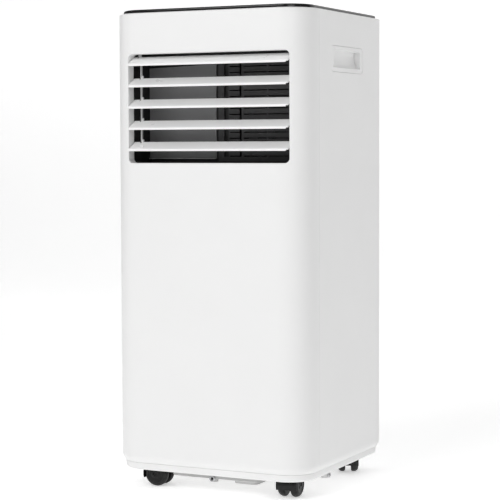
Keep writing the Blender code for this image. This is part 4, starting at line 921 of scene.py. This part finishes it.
def build_base():
    """Tray with its rim and caster sockets, the deep sump under it, and two bolts with washers."""
    rim_top, rim_bottom = COVER_BOTTOM - 0.0004, 0.0250
    floor_low, floor_high = 0.0410, 0.0435
    levels = [(rim_bottom, 0.0072)]
    levels += [(rim_bottom + 0.0035 * t, 0.0072 - 0.0021 * math.sin(math.radians(90 * t))) for t in
               (0.2, 0.4, 0.6, 0.8, 1.0)]
    rim = stack(levels + [(rim_top, 0.0046)])
    pan = join(rim, case_prism(0.0072, rim_top - 0.002, 0.0460))
    pan = cut(pan, case_prism(0.0086, 0.0, rim_top - 0.001), case_prism(0.0098, 0.0, floor_low),
              case_prism(0.0098, floor_high, 0.1))
    places = [caster[:2] for caster in CASTERS.values()]
    sockets = [cylinder("z", place, 0.0095, 0.0400, 0.0560, 40) for place in places]
    side_boss = cylinder("z", BOSSES[1], 0.0060, 0.0145, 0.0420, 40)
    pads = [cylinder("z", (x, y), 0.0125, floor_low, floor_high, 40) for x, y in feet()[1:2]]
    bores = [cylinder("z", place, 0.0058, 0.0, 0.0545, 40) for place in places]
    pan = cut(join(pan, *sockets, side_boss, *pads), sump_hollow(), *bores,
              cylinder("z", BOSSES[1], 0.0028, 0.0, 0.0260, 32))
    piece("base_tray", pan, "case", "base_white", "base_pan")

    sump = prism(rounded_rectangle((-0.0640, -0.1160), (0.0715, 0.1160), 0.010), "z", 0.0185,
                 floor_low + 0.0002)
    bulge = prism(rounded_rectangle((0.030, -0.112), (0.066, -0.070), 0.008), "z", 0.0140, 0.0200)
    under = soften(join(sump, bulge), 0.0016, lambda middle, edge: middle.z < 0.0205, 3)
    under = join(under, cylinder("z", BOSSES[0], 0.0060, 0.0145, 0.0300, 40))
    under = cut(under, sump_hollow(), cylinder("z", BOSSES[0], 0.0028, 0.0, 0.0185, 32))
    pads = [cylinder("z", (x, y), 0.0125, 0.0190, floor_high, 40) for x, y in feet()[::2]]
    # the sump takes a darker copy of the tray's white: painted shade
    piece("base_sump", join(under, *pads), "case", "base_white", "base_pan", material="base_white_painted_shade")

    ring = [(0.0016, 0.0), (0.0046, 0.0), (0.0046, 0.0012), (0.0040, 0.0016), (0.0028, 0.0016),
            (0.0022, 0.0004),
            (0.0016, 0.0004)]
    for name, place, turn in (("front", (BOSSES[0][0], -0.1168, 0.0192),
                               Matrix.Rotation(math.radians(90), 4, "X")),
                              ("side", (0.1338, BOSSES[1][1], 0.0192),
                               Matrix.Rotation(math.radians(90), 4, "Y"))):
        washer = turned(rounded(ring, 0.0003, 2), "z", (0.0, 0.0), 40)
        washer.data.transform(Matrix.Translation(place) @ turn)
        piece(f"base_bolt_{name}", washer, "case", "steel")
        bore = turned([(0, 0.0), (0.0018, 0.0), (0.0018, 0.0006), (0, 0.0006)], "z", (0.0, 0.0), 32)
        bore.data.transform(Matrix.Translation(place) @ turn)
        piece(f"base_bolt_{name}_bore", bore, "case", "rubber_black")


def build_caster(name, x, y, heading):
    """Twin-wheel caster, shaped with its trail along +X and its axle along Y, then turned."""
    axle = (CASTER_TRAIL, WHEEL_RADIUS)
    inner = HOOD_RADIUS - HOOD_THICKNESS
    place = Matrix.Translation((x, y, 0.0)) @ Matrix.Rotation(math.radians(heading), 4, "Z")
    arc = [math.radians(38 + 162 * i / 40) for i in range(41)]
    outer_arc = [(axle[0] + HOOD_RADIUS * math.cos(a), axle[1] + HOOD_RADIUS * math.sin(a)) for a in arc]
    inner_arc = [(axle[0] + inner * math.cos(a), axle[1] + inner * math.sin(a)) for a in reversed(arc)]
    hood = soften(prism(outer_arc + inner_arc, "y", -WHEEL_OUTER, WHEEL_OUTER), 0.0004)
    web_arc = [(axle[0] + (inner + 0.0006) * math.cos(a),
                axle[1] + (inner + 0.0006) * math.sin(a)) for a in arc]
    web = prism(web_arc + [(axle[0] - 0.003, axle[1] - 0.008), (axle[0] + 0.003, axle[1] - 0.008)],
                "y", -WHEEL_INNER + 0.0019, WHEEL_INNER - 0.0019)
    rod = cylinder("y", axle, 0.0026, -WHEEL_OUTER + 0.0012, WHEEL_OUTER - 0.0012, 32)
    stem = turned(rounded([(0.0001, 0.0265), (0.0075, 0.0265), (0.0075, 0.0392), (0.0054, 0.0396),
                           (0.0054, 0.0525),
                           (0.0044, 0.0538), (0.0001, 0.0538)], 0.0004, 2), "z", (0.0, 0.0), 48)
    stem = cut(stem, cylinder("y", axle, inner + 0.0003, -0.02, 0.02, 96))
    hood = join(hood, web, rod, stem)
    hood.data.transform(place)
    body = f"caster_{name}"
    piece(f"caster_{name}_fork", hood, body, "caster_black", f"caster_{name}_hood")
    for side, label in ((-1, "a"), (1, "b")):
        radius = WHEEL_RADIUS
        profile = [(0.0029, WHEEL_INNER), (radius - 0.0022, WHEEL_INNER),
                   (radius - 0.0007, WHEEL_INNER + 0.0008),
                   (radius, WHEEL_INNER + 0.0028), (radius - 0.0001, WHEEL_INNER + 0.0055),
                   (radius - 0.0009, WHEEL_OUTER - 0.0030), (radius - 0.0022, WHEEL_OUTER - 0.0010),
                   (radius - 0.0046, WHEEL_OUTER), (radius - 0.0064, WHEEL_OUTER), (radius - 0.0070,
                                                                                    WHEEL_OUTER - 0.0007),
                   (0.0066, WHEEL_OUTER - 0.0009), (0.0060, WHEEL_OUTER - 0.0002), (0.0036, WHEEL_OUTER),
                   (0.0029, WHEEL_OUTER - 0.0004)]
        wheel = turned([(r, side * h) for r, h in rounded(profile, 0.0006, 2)], "y", axle, 80)
        wheel.data.transform(place)
        piece(f"caster_{name}_tyre_{label}", wheel, f"caster_{name}_wheel_{label}", "caster_black",
              f"caster_{name}_wheel_{label}", smooth=40)


# Carried-over nodes

CARRIED = {"outlet_duct": "duct_black", "outlet_guard": "guard_grey", "duct_panel": "panel_grey",
           "evaporator_scroll": "foam_dark", "condenser_scroll": "foam_white", "evaporator_motor": "steel",
           "condenser_motor": "steel", "splash_motor": "steel", "splash_wheel": "fan_black",
           "compressor": "compressor_black", "accumulator": "compressor_black", "suction_pipe": "copper",
           "discharge_pipe": "copper", "capillary_tube": "copper", "control_board": "board_green",
           "condensate_tray": "duct_black", "electrical_box": "steel"}


def dress_nodes():
    """Gives the nodes that stay as the frame has them their finish."""
    for name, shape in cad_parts.items():
        if not shape.hide_render:
            shape.data.materials.clear()
            shape.data.materials.append(MATERIALS[CARRIED.get(name, "duct_black")])


# Camera, light and floor

def add_camera():
    data = bpy.data.cameras.new("camera")
    data.lens, data.sensor_width = 121.13, 36.0
    data.clip_start, data.clip_end = 0.1, 60.0
    camera = bpy.data.objects.new("camera", data)
    bpy.context.scene.collection.objects.link(camera)
    yaw, pitch, roll = (math.radians(a) for a in (25.877, 3.520, -0.205))
    ahead = Vector((-math.sin(yaw) * math.cos(pitch), math.cos(yaw) * math.cos(pitch), -math.sin(pitch)))
    right = Vector((math.cos(yaw), math.sin(yaw), 0.0))
    up = right.cross(ahead)
    side = right * math.cos(roll) + up * math.sin(roll)
    top = -right * math.sin(roll) + up * math.cos(roll)
    turn = Matrix((side, top, -ahead)).transposed().to_4x4()
    camera.matrix_world = Matrix.Translation((1.04306, -2.14414, 0.4726)) @ turn
    bpy.context.scene.camera = camera


def add_softbox(name, place, target, size, power):
    data = bpy.data.lights.new(name, "AREA")
    data.shape, data.size, data.size_y, data.energy = "RECTANGLE", size[0], size[1], power
    lamp = bpy.data.objects.new(name, data)
    bpy.context.scene.collection.objects.link(lamp)
    lamp.location = place
    lamp.rotation_euler = (Vector(target) - Vector(place)).to_track_quat("-Z", "Y").to_euler()


def add_stage():
    """Pale floor that curves up into a backdrop behind the machine."""
    profile = [(-4.0, 0.0), (2.2, 0.0)]
    profile += [(2.2 + 0.8 * math.sin(math.radians(a)), 0.8 - 0.8 * math.cos(math.radians(a)))
                for a in range(6, 91, 6)] + [(3.0, 4.0)]
    bm = bmesh.new()
    rows = [[bm.verts.new((x, y, z)) for x in (-5.0, 5.0)] for y, z in profile]
    for first, then in zip(rows, rows[1:]):
        bm.faces.new((first[0], first[1], then[1], then[0]))
    floor = object_from(bm)
    floor.name = "floor"
    floor.data.shade_smooth()
    made = bpy.data.materials.new("floor")
    made.use_nodes = True
    tree = made.node_tree
    shader = tree.nodes["Principled BSDF"]
    shader.inputs["Roughness"].default_value = 0.9
    shader.inputs["Specular IOR Level"].default_value = 0.0
    shader.inputs["Emission Color"].default_value = (1, 1, 1, 1)
    shader.inputs["Emission Strength"].default_value = 0.46
    place = node(tree, "ShaderNodeTexCoord")
    tint = blend_of(tree, noise(tree, place, 3.0, 3.0), (0.90, 0.90, 0.90), (0.92, 0.92, 0.92))
    tree.links.new(tint, shader.inputs["Base Color"])
    floor.data.materials.append(made)


def light_scene():
    world = bpy.data.worlds.new("studio")
    world.use_nodes = True
    world.node_tree.nodes["Background"].inputs["Color"].default_value = (1.0, 1.0, 1.0, 1.0)
    world.node_tree.nodes["Background"].inputs["Strength"].default_value = 0.195
    scene = bpy.context.scene
    scene.world = world
    scene.view_settings.view_transform = "Standard"
    add_softbox("overhead", (0.0, -0.3, 3.2), (0.0, 0.0, 0.0), (3.4, 3.4), 20.8)
    add_softbox("key", (-0.7, -2.5, 2.1), (0.0, 0.0, 0.45), (1.6, 1.6), 33.0)
    add_softbox("corner", (1.6, -2.3, 1.5), (0.0, 0.0, 0.40), (1.4, 1.6), 12.0)


build_front()
build_rear()
build_grips()
build_top()
build_louvers()
build_panel_edge()
build_back()
build_coil("evaporator_coil", 0.1155, 0.084, 0.112, 0.380, 0.600, 5)
build_coil("condenser_coil", 0.1175, 0.090, 0.118, 0.0575, 0.198, 4)
build_wheel("evaporator_wheel", (-0.046, 0.490), 0.058, 0.010, 0.066, "evaporator_fan")
build_wheel("condenser_wheel", (0.050, 0.148), 0.062, 0.028, 0.074, "condenser_fan")
build_base()
for caster_name, caster_place in CASTERS.items():
    build_caster(caster_name, *caster_place)
dress_nodes()
add_stage()
light_scene()
add_camera()
